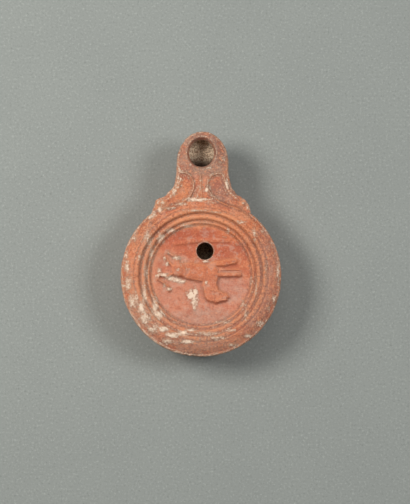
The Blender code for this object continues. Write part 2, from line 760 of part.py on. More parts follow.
    shares = [1.0, 0.93, 0.78, 0.52, 0.24, 0.0]
    rows = [rim, bend] + sides_down(hollow, inner_feet, BELT_HEIGHT, floor_height, shares)
    body.loft([list(reversed(row)) for row in rows])
    floor = free_points(scatter(HOLLOW_SPACING, low, high), inner_feet, [], [], 0.3 * HOLLOW_SPACING)
    body.sheet(inner_feet, [], [], floor, floor_height, True)

    # Walls of the two holes
    walls = ((fill_mouth, fill, fill, FILL_BEVEL), (wick_mouth, wick, wick_exit, WICK_BEVEL))
    for mouth, bore, leave, bevel in walls:
        upper = level(mouth, top_height)
        throat = [(p.x, p.y, z - 1.3 * bevel) for p, (_, _, z) in zip(bore, upper)]
        body.loft([upper, throat, level(leave, ceiling_height)])
    return body


def clay_material():
    material = bpy.data.materials.new("lamp_clay")
    material.use_nodes = True
    shader = material.node_tree.nodes["Principled BSDF"]
    shader.inputs["Base Color"].default_value = (0.50, 0.17, 0.085, 1.0)
    shader.inputs["Roughness"].default_value = 0.78
    return material


def build_lamp():
    body = build_body()
    mesh = bpy.data.meshes.new("oil_lamp")
    mesh.from_pydata(body.points, [], body.faces)
    work = bmesh.new()
    work.from_mesh(mesh)
    bmesh.ops.recalc_face_normals(work, faces=work.faces)
    if work.calc_volume(signed=True) < 0.0:
        bmesh.ops.reverse_faces(work, faces=work.faces)
    work.to_mesh(mesh)
    work.free()
    lamp = bpy.data.objects.new("oil_lamp", mesh)
    bpy.context.scene.collection.objects.link(lamp)
    mesh.materials.append(clay_material())
    mesh.shade_smooth()
    mesh.set_sharp_from_angle(angle=math.radians(38.0))
    return lamp


clear_scene()
build_lamp()
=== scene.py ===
# Roman oil lamp of red clay, lying on a plain grey ground and seen from above.
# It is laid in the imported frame: metres, +Z up, nozzle towards +Y, base disc on z = 0.

import math

import bmesh
import bpy
import numpy as np
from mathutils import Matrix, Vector
from mathutils.geometry import delaunay_2d_cdt
from mathutils.kdtree import KDTree


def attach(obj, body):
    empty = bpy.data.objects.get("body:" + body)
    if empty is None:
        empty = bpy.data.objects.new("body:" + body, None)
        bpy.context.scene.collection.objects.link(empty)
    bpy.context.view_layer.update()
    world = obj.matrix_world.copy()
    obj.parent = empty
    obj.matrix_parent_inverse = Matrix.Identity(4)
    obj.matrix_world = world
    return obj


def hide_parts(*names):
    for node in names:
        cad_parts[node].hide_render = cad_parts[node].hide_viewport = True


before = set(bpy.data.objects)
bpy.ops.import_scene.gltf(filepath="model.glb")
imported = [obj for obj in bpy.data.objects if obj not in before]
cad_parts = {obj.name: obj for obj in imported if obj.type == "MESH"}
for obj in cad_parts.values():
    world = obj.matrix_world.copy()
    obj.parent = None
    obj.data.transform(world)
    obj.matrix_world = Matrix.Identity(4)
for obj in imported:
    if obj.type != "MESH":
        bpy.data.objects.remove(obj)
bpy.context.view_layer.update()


# Lamp body
# One hollow piece of red clay, pressed in a two-part mould and fired: round bowl, ringed and sunk discus
# with a leaping beast, volute nozzle. The form is worked out from named sizes, then a node tree gives it
# the uneven, pitted skin of worn clay.

MM = 0.001
BODY_RADIUS = 36.1 * MM
SHOULDER_TOP = 25.6 * MM
SHOULDER_FALL = 2.7 * MM
BELT_HEIGHT = 17.0 * MM
BELT_BAND = 2.4 * MM
EDGE_ROUND = 1.3 * MM
WALL = 3.0 * MM
CEILING_ROUND = 0.8 * MM
BOWL_CURVE = 1.7
BASE_RADIUS = 19.4 * MM
FOOT_STEP = 0.8 * MM
FOOT_RADIUS = 19.9 * MM
BASE_GROOVE_RADIUS = 16.4 * MM
BASE_GROOVE_WIDTH = 1.0 * MM
BASE_GROOVE_DEPTH = 0.4 * MM
RING_OFFSET = 0.6 * MM
DISCUS_RADIUS = 22.4 * MM
DISCUS_CENTRE_HEIGHT = 19.4 * MM
DISCUS_EDGE_HEIGHT = 21.9 * MM
RIDGE_WIDTH = 1.8 * MM
RIDGE_HEIGHT = 23.1 * MM
INNER_RING_WIDTH = 2.9 * MM
INNER_RING_HEIGHT = 24.5 * MM
OUTER_RING_WIDTH = 3.1 * MM
OUTER_RING_HEIGHT = 25.9 * MM
GROOVE_DEPTH = 0.7 * MM
NOZZLE_REACH = 65.6 * MM
NOZZLE_HALF_WIDTH = 11.9 * MM
NOZZLE_TIP_LENGTH = 14.1 * MM
NOZZLE_SKEW = 0.7 * MM
NOZZLE_ROOT_HEIGHT = 24.2 * MM
NOZZLE_TIP_HEIGHT = 23.2 * MM
NOZZLE_CROWN = 0.5 * MM
NOZZLE_WALL = 2.4 * MM
KEEL_RISE = 10.6 * MM
KEEL_RUN = 15.0 * MM
KEEL_HALF_WIDTH = 3.0 * MM
KEEL_END = 12.5 * MM
FILL_RADIUS = 3.6 * MM
FILL_CENTRE = (1.8 * MM, 11.4 * MM)
FILL_BEVEL = 0.3 * MM
WICK_HALF_WIDTH = 5.9 * MM
WICK_HALF_LENGTH = 6.5 * MM
WICK_CENTRE = (0.2 * MM, 55.6 * MM)
WICK_BEVEL = 0.5 * MM
WICK_TAPER = 0.9
VOLUTE_HALF_WIDTH = 0.8 * MM
VOLUTE_HEIGHT = 0.75 * MM
RIM_HALF_WIDTH = 1.1 * MM
RIM_HEIGHT = 0.45 * MM
FIGURE_LENGTH = 36.0 * MM
STROKE_FOOT = 1.12
EDGE_FALL = 1.3 * MM
TIP_CENTRE = NOZZLE_REACH - NOZZLE_TIP_LENGTH
RIDGE_END = DISCUS_RADIUS + RIDGE_WIDTH
INNER_RING_END = RIDGE_END + INNER_RING_WIDTH
OUTER_RING_END = INNER_RING_END + OUTER_RING_WIDTH
GROOVE_INSIDE = BASE_GROOVE_RADIUS - 0.5 * BASE_GROOVE_WIDTH
GROOVE_OUTSIDE = BASE_GROOVE_RADIUS + 0.5 * BASE_GROOVE_WIDTH
INNER_FOOT_RADIUS = FOOT_RADIUS - 0.8 * WALL
KEEL_TIP = NOZZLE_REACH - KEEL_END
SKEW_START = 0.8 * BODY_RADIUS
NECK_START = 0.95 * BODY_RADIUS

# Lugs: degrees from the nozzle's axis and reach in shares of the body's radius
LUG_RIGHT = [
    (38.6, 1.006), (36.4, 1.045), (33.6, 1.080), (30.4, 1.104), (27.4, 1.110), (24.8, 1.125), (21.6, 1.150),
]
LUG_LEFT = [
    (38.6, 1.003), (36.0, 1.030), (33.4, 1.062), (30.9, 1.106), (28.3, 1.108), (24.4, 1.100), (21.8, 1.128),
]
# Neck: half width in shares of the nozzle's, place from the bowl's edge to the tip's centre
NECK = [(1.130, 0.27), (1.045, 0.50), (1.010, 0.74), (1.000, 1.0)]
# Volutes, stem and knobs: across in half widths of the nozzle, along in radii of the body
VOLUTE_LEFT = [
    (-0.86, 1.215), (-0.79, 1.288), (-0.50, 1.275), (-0.36, 1.215), (-0.28, 1.150),
    (-0.31, 1.060), (-0.48, 0.965), (-0.78, 0.910), (-1.10, 0.852), (-1.36, 0.832),
]
VOLUTE_RIGHT = [
    (0.92, 1.190), (0.80, 1.262), (0.58, 1.270), (0.36, 1.235), (0.25, 1.160), (0.27, 1.090),
    (0.34, 1.040), (0.52, 0.970), (0.72, 0.925), (0.98, 0.882), (1.24, 0.860), (1.46, 0.828),
]
STEM = [(0.0, 1.255, 0.05), (-0.02, 1.110, 0.09), (-0.05, 0.995, 0.17)]
LUG_KNOBS = [(-1.42, 0.909, 0.12, 0.9), (1.55, 0.906, 0.14, 1.1)]

# The beast's strokes: points as x, y, half width and height in shares of its length
BEAST = {
    "barrel": [
        (-0.270, 0.085, 0.092, 0.036), (-0.140, 0.068, 0.112, 0.042),
        (0.000, 0.045, 0.118, 0.042), (0.120, 0.040, 0.110, 0.042),
    ],
    "haunch": [(-0.285, 0.080, 0.098, 0.047), (-0.255, 0.105, 0.080, 0.044)],
    "neck": [(0.125, 0.020, 0.106, 0.047), (0.105, -0.110, 0.102, 0.050), (0.140, -0.225, 0.108, 0.053)],
    "head": [(0.205, -0.253, 0.098, 0.056), (0.290, -0.262, 0.066, 0.044)],
    "shoulder": [(0.150, 0.005, 0.075, 0.047), (0.185, 0.030, 0.055, 0.044)],
    "foreleg_near": [
        (0.190, 0.022, 0.046, 0.039), (0.335, 0.019, 0.044, 0.036), (0.480, 0.021, 0.043, 0.036),
    ],
    "foreleg_edge": [(0.250, 0.080, 0.017, 0.020), (0.475, 0.080, 0.017, 0.020)],
    "foreleg_far": [
        (0.130, 0.150, 0.044, 0.028), (0.285, 0.166, 0.054, 0.031), (0.420, 0.188, 0.050, 0.028),
    ],
    "thigh": [(-0.290, 0.120, 0.060, 0.042), (-0.305, 0.228, 0.042, 0.031)],
    "hind_foot": [(-0.305, 0.235, 0.036, 0.028), (-0.410, 0.293, 0.026, 0.022)],
    "hind_far": [
        (-0.340, 0.115, 0.040, 0.033), (-0.398, 0.175, 0.026, 0.025), (-0.438, 0.230, 0.025, 0.022),
    ],
    "tail": [
        (-0.335, 0.040, 0.028, 0.030), (-0.420, -0.004, 0.025, 0.028), (-0.515, 0.008, 0.023, 0.026),
        (-0.535, -0.038, 0.022, 0.024), (-0.470, -0.080, 0.022, 0.024), (-0.410, -0.128, 0.023, 0.026),
        (-0.394, -0.178, 0.030, 0.028),
    ],
    "ground": [
        (-0.330, 0.405, 0.036, 0.009), (0.000, 0.452, 0.038, 0.012), (0.340, 0.440, 0.036, 0.009),
    ],
}

# Fine modelling of the beast, in the same shares: muscles and brow raised, lines cut in
MUSCLES = [
    [(-0.285, 0.060, 0.058, 0.011), (-0.262, 0.110, 0.050, 0.010)],
    [(-0.110, 0.030, 0.052, 0.007), (0.010, 0.008, 0.048, 0.007)],
    [(0.140, 0.020, 0.054, 0.011), (0.175, -0.030, 0.040, 0.008)],
    [(0.130, -0.165, 0.030, 0.010), (0.190, -0.185, 0.024, 0.008)],
    [(0.205, -0.300, 0.040, 0.009), (0.285, -0.290, 0.030, 0.008)],
    [(0.335, -0.262, 0.020, 0.012), (0.352, -0.258, 0.018, 0.011)],
    [(0.455, 0.030, 0.026, 0.010), (0.485, 0.032, 0.026, 0.010)],
    [(0.405, 0.200, 0.028, 0.009), (0.425, 0.206, 0.026, 0.008)],
]
CUTS = [
    [(0.060, 0.085, 0.022, 0.005), (0.075, -0.010, 0.026, 0.009), (0.060, -0.070, 0.022, 0.005)],
    [(-0.195, 0.140, 0.022, 0.005), (-0.170, 0.060, 0.026, 0.009), (-0.200, -0.005, 0.022, 0.005)],
    [(0.236, -0.228, 0.014, 0.012), (0.248, -0.226, 0.014, 0.012)],
    [(0.262, -0.278, 0.010, 0.009), (0.345, -0.284, 0.012, 0.010)],
    [(0.160, -0.222, 0.012, 0.009), (0.178, -0.268, 0.012, 0.010), (0.168, -0.320, 0.010, 0.008)],
    [(0.438, 0.022, 0.007, 0.008), (0.490, 0.022, 0.007, 0.010)],
    [(0.210, 0.052, 0.012, 0.012), (0.330, 0.054, 0.012, 0.012)],
]

# Rings and shoulder: distance from the rings' middle and height, from the discus out to the edge
RING_PROFILE = [
    (0.0, DISCUS_CENTRE_HEIGHT),
    (0.5 * DISCUS_RADIUS, DISCUS_CENTRE_HEIGHT + 0.22 * (DISCUS_EDGE_HEIGHT - DISCUS_CENTRE_HEIGHT)),
    (0.8 * DISCUS_RADIUS, DISCUS_CENTRE_HEIGHT + 0.62 * (DISCUS_EDGE_HEIGHT - DISCUS_CENTRE_HEIGHT)),
    (DISCUS_RADIUS, DISCUS_EDGE_HEIGHT),
    (DISCUS_RADIUS + 0.45 * RIDGE_WIDTH, RIDGE_HEIGHT),
    (DISCUS_RADIUS + 0.80 * RIDGE_WIDTH, RIDGE_HEIGHT),
    (RIDGE_END, RIDGE_HEIGHT - GROOVE_DEPTH),
    (RIDGE_END + 0.22 * INNER_RING_WIDTH, RIDGE_HEIGHT + 0.7 * (INNER_RING_HEIGHT - RIDGE_HEIGHT)),
    (RIDGE_END + 0.45 * INNER_RING_WIDTH, INNER_RING_HEIGHT),
    (RIDGE_END + 0.80 * INNER_RING_WIDTH, INNER_RING_HEIGHT),
    (INNER_RING_END, INNER_RING_HEIGHT - GROOVE_DEPTH),
    (
        INNER_RING_END + 0.22 * OUTER_RING_WIDTH,
        INNER_RING_HEIGHT + 0.7 * (OUTER_RING_HEIGHT - INNER_RING_HEIGHT),
    ),
    (INNER_RING_END + 0.45 * OUTER_RING_WIDTH, OUTER_RING_HEIGHT),
    (INNER_RING_END + 0.78 * OUTER_RING_WIDTH, OUTER_RING_HEIGHT - 0.2 * GROOVE_DEPTH),
    (OUTER_RING_END, SHOULDER_TOP - 0.3 * GROOVE_DEPTH),
    (OUTER_RING_END + 0.15 * OUTER_RING_WIDTH, SHOULDER_TOP),
    (0.5 * (OUTER_RING_END + BODY_RADIUS), SHOULDER_TOP - 0.3 * SHOULDER_FALL),
    (BODY_RADIUS, SHOULDER_TOP - SHOULDER_FALL),
]


def ease(low, high, value):
    share = np.clip((value - low) / (high - low), 0.0, 1.0)
    return share * share * (3.0 - 2.0 * share)


def curve_through(points, count):
    """Evenly spaced points on a smooth curve through the given ones."""
    points = np.asarray(points, float)
    ends = np.vstack([2 * points[0] - points[1], points, 2 * points[-1] - points[-2]])
    t = np.linspace(0.0, 1.0, 16, endpoint=False)[None, :, None]
    a, b, c, d = (ends[n:len(ends) - 3 + n, None, :] for n in range(4))
    fine = 0.5 * (2 * b + (c - a) * t + (2 * a - 5 * b + 4 * c - d) * t**2 + (3 * b - a - 3 * c + d) * t**3)
    fine = np.vstack([fine.reshape(-1, points.shape[1]), points[-1:]])
    run = np.r_[0.0, np.cumsum(np.linalg.norm(np.diff(fine[:, :2], axis=0), axis=1))]
    want = np.linspace(0.0, run[-1], count + 1)
    return np.column_stack([np.interp(want, run, column) for column in fine.T])


def tip_points(hand, half, length, count):
    angles = np.radians(np.linspace(0.0, 90.0, count))
    return [(NOZZLE_SKEW + hand * half * math.cos(a), TIP_CENTRE + length * math.sin(a)) for a in angles]


def outer_side(hand, count):
    """One side of the outline, from the bowl over the lug and along the nozzle to its tip."""
    points = []
    for degrees, share in LUG_RIGHT if hand > 0 else LUG_LEFT:
        angle = math.radians(degrees)
        points.append((hand * share * BODY_RADIUS * math.sin(angle), share * BODY_RADIUS * math.cos(angle)))
    for share, place in NECK:
        along = BODY_RADIUS + place * (TIP_CENTRE - BODY_RADIUS)
        points.append((NOZZLE_SKEW + hand * share * NOZZLE_HALF_WIDTH, along))
    points += tip_points(hand, NOZZLE_HALF_WIDTH, NOZZLE_TIP_LENGTH, 9)[1:]
    return curve_through(points, count)


def inner_side(hand, count):
    """One side of the hollow's outline."""
    radius = BODY_RADIUS - WALL
    half = NOZZLE_HALF_WIDTH - NOZZLE_WALL
    fillet = 2.5 * WALL
    middle = np.array([half + fillet, math.sqrt((radius + fillet) ** 2 - (half + fillet) ** 2)])
    start = math.atan2(middle[1], middle[0])
    points = [middle - fillet * np.array([math.cos(a), math.sin(a)]) for a in np.linspace(start, 0.0, 5)]
    points.append(np.array([half, 0.5 * (points[-1][1] + TIP_CENTRE)]))
    angles = np.radians(np.linspace(0.0, 90.0, 7))
    reach = NOZZLE_TIP_LENGTH - NOZZLE_WALL
    points += [np.array([half * math.cos(a), TIP_CENTRE + reach * math.sin(a)]) for a in angles]
    shifted = []
    for x, y in points:
        shifted.append((hand * x + NOZZLE_SKEW * float(ease(SKEW_START, TIP_CENTRE, y)), y))
    return curve_through(shifted, count)


def whole_outline(side, side_count, arc_count):
    """Closed outline, running from the tip round by the right and back to the tip."""
    right = side(1, side_count)
    left = side(-1, side_count)
    first = math.atan2(right[0][1], right[0][0])
    last = math.atan2(left[0][1], left[0][0]) - 2 * math.pi
    share = np.arange(1, arc_count) / arc_count
    angle = first + (last - first) * share
    radius = np.linalg.norm(right[0]) * (1 - share) + np.linalg.norm(left[0]) * share
    arc = np.column_stack([radius * np.cos(angle), radius * np.sin(angle)])
    return np.vstack([right[::-1], arc, left[:-1]])


def inset(loop, amount):
    along = np.roll(loop, -1, axis=0) - np.roll(loop, 1, axis=0)
    normal = np.column_stack([along[:, 1], -along[:, 0]])
    return loop + amount * normal / np.linalg.norm(normal, axis=1, keepdims=True)


def feet_of(loop, foot_radius, half_width, end):
    """For each point of an outline the point of the base disc or of the keel band below it."""
    top = loop[:, 1].max()
    corner = math.sqrt(foot_radius**2 - half_width**2)
    lug_y = BODY_RADIUS * math.cos(math.radians(LUG_RIGHT[0][0]))
    length = np.linalg.norm(loop, axis=1)
    low = lug_y * foot_radius / length[loop[:, 1] <= lug_y].max()
    steps = np.linalg.norm(np.roll(loop, -1, axis=0) - loop, axis=1)
    run = np.cumsum(steps) - steps
    run = np.minimum(run, steps.sum() - run)
    climb = 0.75 * (loop[:, 1] - lug_y) / (top - lug_y) + 0.25 * (1.0 - run / run[loop[:, 1] > lug_y].max())
    y = low + (end + half_width - low) * climb
    x = np.where(y <= corner, np.sqrt(np.maximum(0.0, foot_radius**2 - y * y)), half_width)
    x = np.where(y > end, np.sqrt(np.maximum(0.0, half_width**2 - (y - end) ** 2)), x)
    axis = NOZZLE_SKEW * ease(SKEW_START, TIP_CENTRE, loop[:, 1])
    x = np.where(loop[:, 0] > axis, x, -x)
    on_bowl = loop * (foot_radius / length)[:, None]
    return np.where((loop[:, 1] <= lug_y)[:, None], on_bowl, np.column_stack([x, y]))


def keel(y, start):
    return np.where(y > start, KEEL_RISE * (1.0 - np.exp(-np.maximum(0.0, y - start) / KEEL_RUN)), 0.0)


def raised(x, y, strokes, blend):
    """Height of tapering raised strokes at each point, run together where they meet."""
    total = np.zeros_like(x)
    for stroke in strokes:
        for (ax, ay, aw, ah), (bx, by, bw, bh) in zip(stroke, stroke[1:]):
            dx, dy = bx - ax, by - ay
            share = np.clip(((x - ax) * dx + (y - ay) * dy) / (dx * dx + dy * dy), 0.0, 1.0)
            width = aw + (bw - aw) * share
            away = np.hypot(x - ax - share * dx, y - ay - share * dy) / width
            crest = np.maximum(0.25, STROKE_FOOT - EDGE_FALL / width)
            dome = np.sqrt(np.maximum(0.0, 1.0 - (away / STROKE_FOOT) ** 2))
            height = (ah + (bh - ah) * share) * (1.0 - ease(crest, STROKE_FOOT, away)) * (0.50 + 0.50 * dome)
            meet = np.maximum(0.0, blend - np.abs(total - height)) ** 2 / (4 * blend)
            total = np.maximum(total, height) + np.where((total > 0) & (height > 0), meet, 0.0)
    return total


def to_size(strokes):
    return [[tuple(v * FIGURE_LENGTH for v in point) for point in stroke] for stroke in strokes]


FIGURE = to_size(BEAST.values())
MUSCLES = to_size(MUSCLES)
CUTS = to_size(CUTS)
VOLUTES = []
for line in (VOLUTE_LEFT, VOLUTE_RIGHT):
    spots = curve_through([(x * NOZZLE_HALF_WIDTH, y * BODY_RADIUS) for x, y in line], 3 * len(line))
    VOLUTES.append([(x, y, VOLUTE_HALF_WIDTH, VOLUTE_HEIGHT) for x, y in spots])
VOLUTES.append([])
for x, y, w in STEM:
    VOLUTES[-1].append((x * NOZZLE_HALF_WIDTH, y * BODY_RADIUS, w * NOZZLE_HALF_WIDTH, 0.8 * VOLUTE_HEIGHT))
for x, y, w, h in LUG_KNOBS:
    knob = (x * NOZZLE_HALF_WIDTH, y * BODY_RADIUS, w * NOZZLE_HALF_WIDTH, h * VOLUTE_HEIGHT)
    VOLUTES.append([knob, (knob[0] + 0.1 * knob[2],) + knob[1:]])
for hand in (1, -1):
    side = outer_side(hand, 40)
    along = np.diff(side, axis=0)
    normal = np.column_stack([-along[:, 1], along[:, 0]]) * hand
    normal = normal / np.linalg.norm(along, axis=1, keepdims=True)
    rim = side[:-1] + normal * (EDGE_ROUND + RIM_HALF_WIDTH)
    keep = (side[:-1, 1] > NECK_START) & (side[:-1, 1] < TIP_CENTRE - 0.3 * NOZZLE_TIP_LENGTH)
    VOLUTES.append([(x, y, RIM_HALF_WIDTH, RIM_HEIGHT) for x, y in rim[keep]])


def nozzle_height(x, y):
    fall = (NOZZLE_TIP_HEIGHT - NOZZLE_ROOT_HEIGHT) * (y - BODY_RADIUS) / (NOZZLE_REACH - BODY_RADIUS)
    across = np.minimum(1.5, np.abs(x - NOZZLE_SKEW) / NOZZLE_HALF_WIDTH)
    return NOZZLE_ROOT_HEIGHT + fall - NOZZLE_CROWN * across**2


def beast_height(x, y):
    radius = np.hypot(x, y - RING_OFFSET)
    beast = raised(x, y, FIGURE, 0.5 * MM) + raised(x, y, MUSCLES, 0.1 * MM) - raised(x, y, CUTS, 0.05 * MM)
    return np.where(radius < DISCUS_RADIUS, beast * ease(0.0, 0.06, 1.0 - radius / DISCUS_RADIUS), 0.0)


def top_height(x, y):
    """Height of the upper face, its rings softly rounded."""
    x, y = np.asarray(x, float), np.asarray(y, float)
    radius = np.hypot(x, y - RING_OFFSET)
    radii, heights = np.array(RING_PROFILE).T
    height = sum(np.interp(radius + step * 0.13 * MM, radii, heights) for step in (-2, -1, 0, 1, 2)) / 5
    leaf = ease(0.925 * BODY_RADIUS, 0.965 * BODY_RADIUS, radius)
    leaf = leaf * ease(0.62 * BODY_RADIUS, 0.78 * BODY_RADIUS, y)
    height = height + (nozzle_height(x, y) - height) * leaf
    height = height + np.where(y > 0.5 * BODY_RADIUS, raised(x, y, VOLUTES, 0.2 * MM), 0.0)
    return height + beast_height(x, y)


def ceiling_height(x, y):
    x, y = np.asarray(x, float), np.asarray(y, float)
    steps = [0.0, DISCUS_RADIUS, OUTER_RING_END, BODY_RADIUS - WALL]
    tops = [DISCUS_CENTRE_HEIGHT, DISCUS_EDGE_HEIGHT, SHOULDER_TOP, SHOULDER_TOP - 0.6 * SHOULDER_FALL]
    bowl = np.interp(np.hypot(x, y), steps, np.array(tops) - WALL)
    return bowl + (nozzle_height(x, y) - NOZZLE_WALL - bowl) * ease(0.85 * BODY_RADIUS, BODY_RADIUS, y)


def base_height(x, y):
    x, y = np.asarray(x, float), np.asarray(y, float)
    radius = np.hypot(x, y)
    steps = [GROOVE_INSIDE, BASE_GROOVE_RADIUS, GROOVE_OUTSIDE, BASE_RADIUS, FOOT_RADIUS]
    disc = np.interp(radius, steps, [0.0, BASE_GROOVE_DEPTH, 0.0, 0.0, FOOT_STEP])
    return np.where(radius > FOOT_RADIUS - 1e-7, FOOT_STEP + keel(y, FOOT_RADIUS), disc)


def floor_height(x, y):
    return WALL + keel(np.asarray(y, float), INNER_FOOT_RADIUS)


def oval(radius, stretch, centre, count):
    turn = np.arange(count) * 2 * math.pi / count
    return np.column_stack([centre[0] + radius * np.cos(turn), centre[1] + radius * stretch * np.sin(turn)])


def inside(points, loop):
    hit = np.zeros(len(points), bool)
    for (ax, ay), (bx, by) in zip(loop, np.roll(loop, -1, axis=0)):
        if ay != by:
            crosses = (ay > points[:, 1]) != (by > points[:, 1])
            hit ^= crosses & (points[:, 0] < ax + (points[:, 1] - ay) / (by - ay) * (bx - ax))
    return hit


def rows_of_points(spacing, low, high):
    out = []
    for row, y in enumerate(np.arange(low[1], high[1], spacing * 0.866)):
        x = np.arange(low[0] + 0.5 * (row % 2) * spacing, high[0], spacing)
        out.append(np.column_stack([x, np.full_like(x, y)]))
    return np.vstack(out)


points, faces, zones, known = [], [], [], {}


def put(x, y, z, zone):
    """Number of the point at a place, made if it is new; the zone says which surface it is on."""
    key = (round(x * 1e8), round(y * 1e8), round(z * 1e8))
    if key not in known:
        known[key] = len(points)
        points.append((x, y, z))
        zones.append(zone)
    return known[key]


def sheet(border, holes, lines, spacing, height, upward, zone):
    """Surface over a plan region between its border and its holes."""
    loops = [border] + holes
    free = rows_of_points(spacing, border.min(axis=0), border.max(axis=0))
    free = free[inside(free, border)]
    for hole in holes:
        free = free[~inside(free, hole)]
    fixed = np.vstack(loops + lines)
    tree = KDTree(len(fixed))
    for n, (x, y) in enumerate(fixed):
        tree.insert((x, y, 0.0), n)
    tree.balance()
    free = np.array([p for p in free if tree.find((p[0], p[1], 0.0))[2] > 0.55 * spacing]).reshape(-1, 2)
    edges = []
    start = 0
    for loop in loops + lines:
        edges += [(start + n, start + (n + 1) % len(loop)) for n in range(len(loop))]
        start += len(loop)
    spots = np.vstack([fixed, free])
    made, _, cells, origin, _, _ = delaunay_2d_cdt([Vector(p / MM) for p in spots], edges, [], 0, 1e-4, True)
    plan = np.array([spots[o[0]] if o else (v.x * MM, v.y * MM) for v, o in zip(made, origin)])
    cells = np.array([c[:3] for c in cells])
    middles = plan[cells].mean(axis=1)
    keep = inside(middles, border)
    for hole in holes:
        keep &= ~inside(middles, hole)
    cells = cells[keep]
    a, b, c = (plan[cells[:, n]] for n in range(3))
    turn = (b[:, 0] - a[:, 0]) * (c[:, 1] - a[:, 1]) - (b[:, 1] - a[:, 1]) * (c[:, 0] - a[:, 0])
    flip = (turn > 0) != upward
    cells[flip] = cells[flip][:, ::-1]
    used = np.unique(cells)
    heights = height(plan[:, 0], plan[:, 1])
    number = {n: put(plan[n, 0], plan[n, 1], float(heights[n]), zone) for n in used}
    faces.extend(tuple(number[n] for n in cell) for cell in cells)


def band(loops, zone):
    """Bands of faces between loops with the same number of points."""
    rows = [[put(*p, zone) for p in loop] for loop in loops]
    for upper, lower in zip(rows, rows[1:]):
        for n in range(len(upper)):
            m = (n + 1) % len(upper)
            for corner in ((upper[n], upper[m], lower[m]), (upper[n], lower[m], lower[n])):
                if len(set(corner)) == 3:
                    faces.append(corner)


def at_height(loop, z):
    return np.column_stack([loop, np.broadcast_to(z, len(loop))]).tolist()


def sides_down(loop, feet, start_height, foot_height, count):
    """Loops from the belt down to the feet along a full, rounded curve."""
    out = []
    low = foot_height(feet[:, 0], feet[:, 1])
    for n in range(count + 1):
        share = math.cos(0.5 * math.pi * n / count) ** 0.8 if n < count else 0.0
        drop = 1.0 - (1.0 - share**BOWL_CURVE) ** (1.0 / BOWL_CURVE)
        spot = feet + (loop - feet) * share if n else loop
        out.append(at_height(spot, low + (start_height - low) * drop))
    return out


TOP_SPACING = 0.33 * MM
BASE_SPACING = 1.1 * MM
CEILING_SPACING = 1.3 * MM
FLOOR_SPACING = 1.6 * MM
SIDE_STEPS = 110
ARC_STEPS = 260
WALL_ROWS = 22
HOLLOW_ROWS = 12
EDGE_ROWS = 6
HOLE_ROWS = 6
coarse = 1.0
outline = whole_outline(outer_side, int(SIDE_STEPS / coarse), int(ARC_STEPS / coarse))
top_edge = inset(outline, EDGE_ROUND)
stretch = WICK_HALF_LENGTH / WICK_HALF_WIDTH
fill = oval(FILL_RADIUS, 1.0, FILL_CENTRE, 72)
fill_mouth = oval(FILL_RADIUS + FILL_BEVEL, 1.0, FILL_CENTRE, 72)
wick = oval(WICK_HALF_WIDTH, stretch, WICK_CENTRE, 96)
wick_mouth = oval(WICK_HALF_WIDTH + WICK_BEVEL, stretch, WICK_CENTRE, 96)
wick_exit = oval(WICK_TAPER * WICK_HALF_WIDTH, stretch, WICK_CENTRE, 96)
sheet(top_edge, [fill_mouth, wick_mouth], [], TOP_SPACING * coarse, top_height, True, 0)

rim_z = top_height(top_edge[:, 0], top_edge[:, 1])
turned = [at_height(top_edge, rim_z)]
for n in range(1, EDGE_ROWS):
    angle = 0.5 * math.pi * n / EDGE_ROWS
    ring = inset(outline, EDGE_ROUND * (1 - math.sin(angle)))
    turned.append(at_height(ring, rim_z - EDGE_ROUND * (1 - math.cos(angle))))
belt = BELT_HEIGHT + BELT_BAND
feet = feet_of(outline, FOOT_RADIUS, KEEL_HALF_WIDTH, KEEL_TIP)
sides = sides_down(outline, feet, BELT_HEIGHT, base_height, int(WALL_ROWS / coarse))
band(turned + [at_height(outline, belt), at_height(outline, 0.5 * (belt + BELT_HEIGHT))] + sides, 1)

turnings = (BASE_RADIUS, GROOVE_OUTSIDE, BASE_GROOVE_RADIUS, GROOVE_INSIDE)
discs = [oval(radius, 1.0, (0.0, 0.0), 180) for radius in turnings]
sheet(feet, [], discs, BASE_SPACING, base_height, False, 2)

hollow = whole_outline(inner_side, 40, 80)
ceiling_edge = inset(hollow, CEILING_ROUND)
sheet(ceiling_edge, [fill, wick_exit], [], CEILING_SPACING, ceiling_height, False, 3)
rim_low = ceiling_height(ceiling_edge[:, 0], ceiling_edge[:, 1])
bend = at_height(inset(hollow, 0.3 * CEILING_ROUND), rim_low - 0.35 * CEILING_ROUND)
inner_feet = feet_of(hollow, INNER_FOOT_RADIUS, 0.8 * KEEL_HALF_WIDTH, KEEL_TIP - 0.5 * WALL)
rows = [at_height(ceiling_edge, rim_low), bend]
rows += sides_down(hollow, inner_feet, BELT_HEIGHT, floor_height, HOLLOW_ROWS)
band([row[::-1] for row in rows], 3)
sheet(inner_feet, [], [], FLOOR_SPACING, floor_height, True, 3)
openings = ((fill_mouth, fill, fill, FILL_BEVEL), (wick_mouth, wick, wick_exit, WICK_BEVEL))
for mouth, bore, leave, bevel in openings:
    upper = top_height(mouth[:, 0], mouth[:, 1])
    throat = upper - 1.3 * bevel
    low = ceiling_height(leave[:, 0], leave[:, 1])
    walls = [at_height(mouth, upper), at_height(0.5 * (mouth + bore), upper - 0.35 * bevel)]
    walls.append(at_height(bore, throat))
    for n in range(1, HOLE_ROWS + 1):
        part = n / HOLE_ROWS
        ring = bore + (leave - bore) * part if n < HOLE_ROWS else leave
        walls.append(at_height(ring, throat + (low - throat) * part))
    band(walls, 4)

mesh = bpy.data.meshes.new("lamp_body")
mesh.from_pydata(points, [], faces)
work = bmesh.new()
work.from_mesh(mesh)
bmesh.ops.recalc_face_normals(work, faces=work.faces)
if work.calc_volume(signed=True) < 0.0:
    bmesh.ops.reverse_faces(work, faces=work.faces)
work.to_mesh(mesh)
work.free()

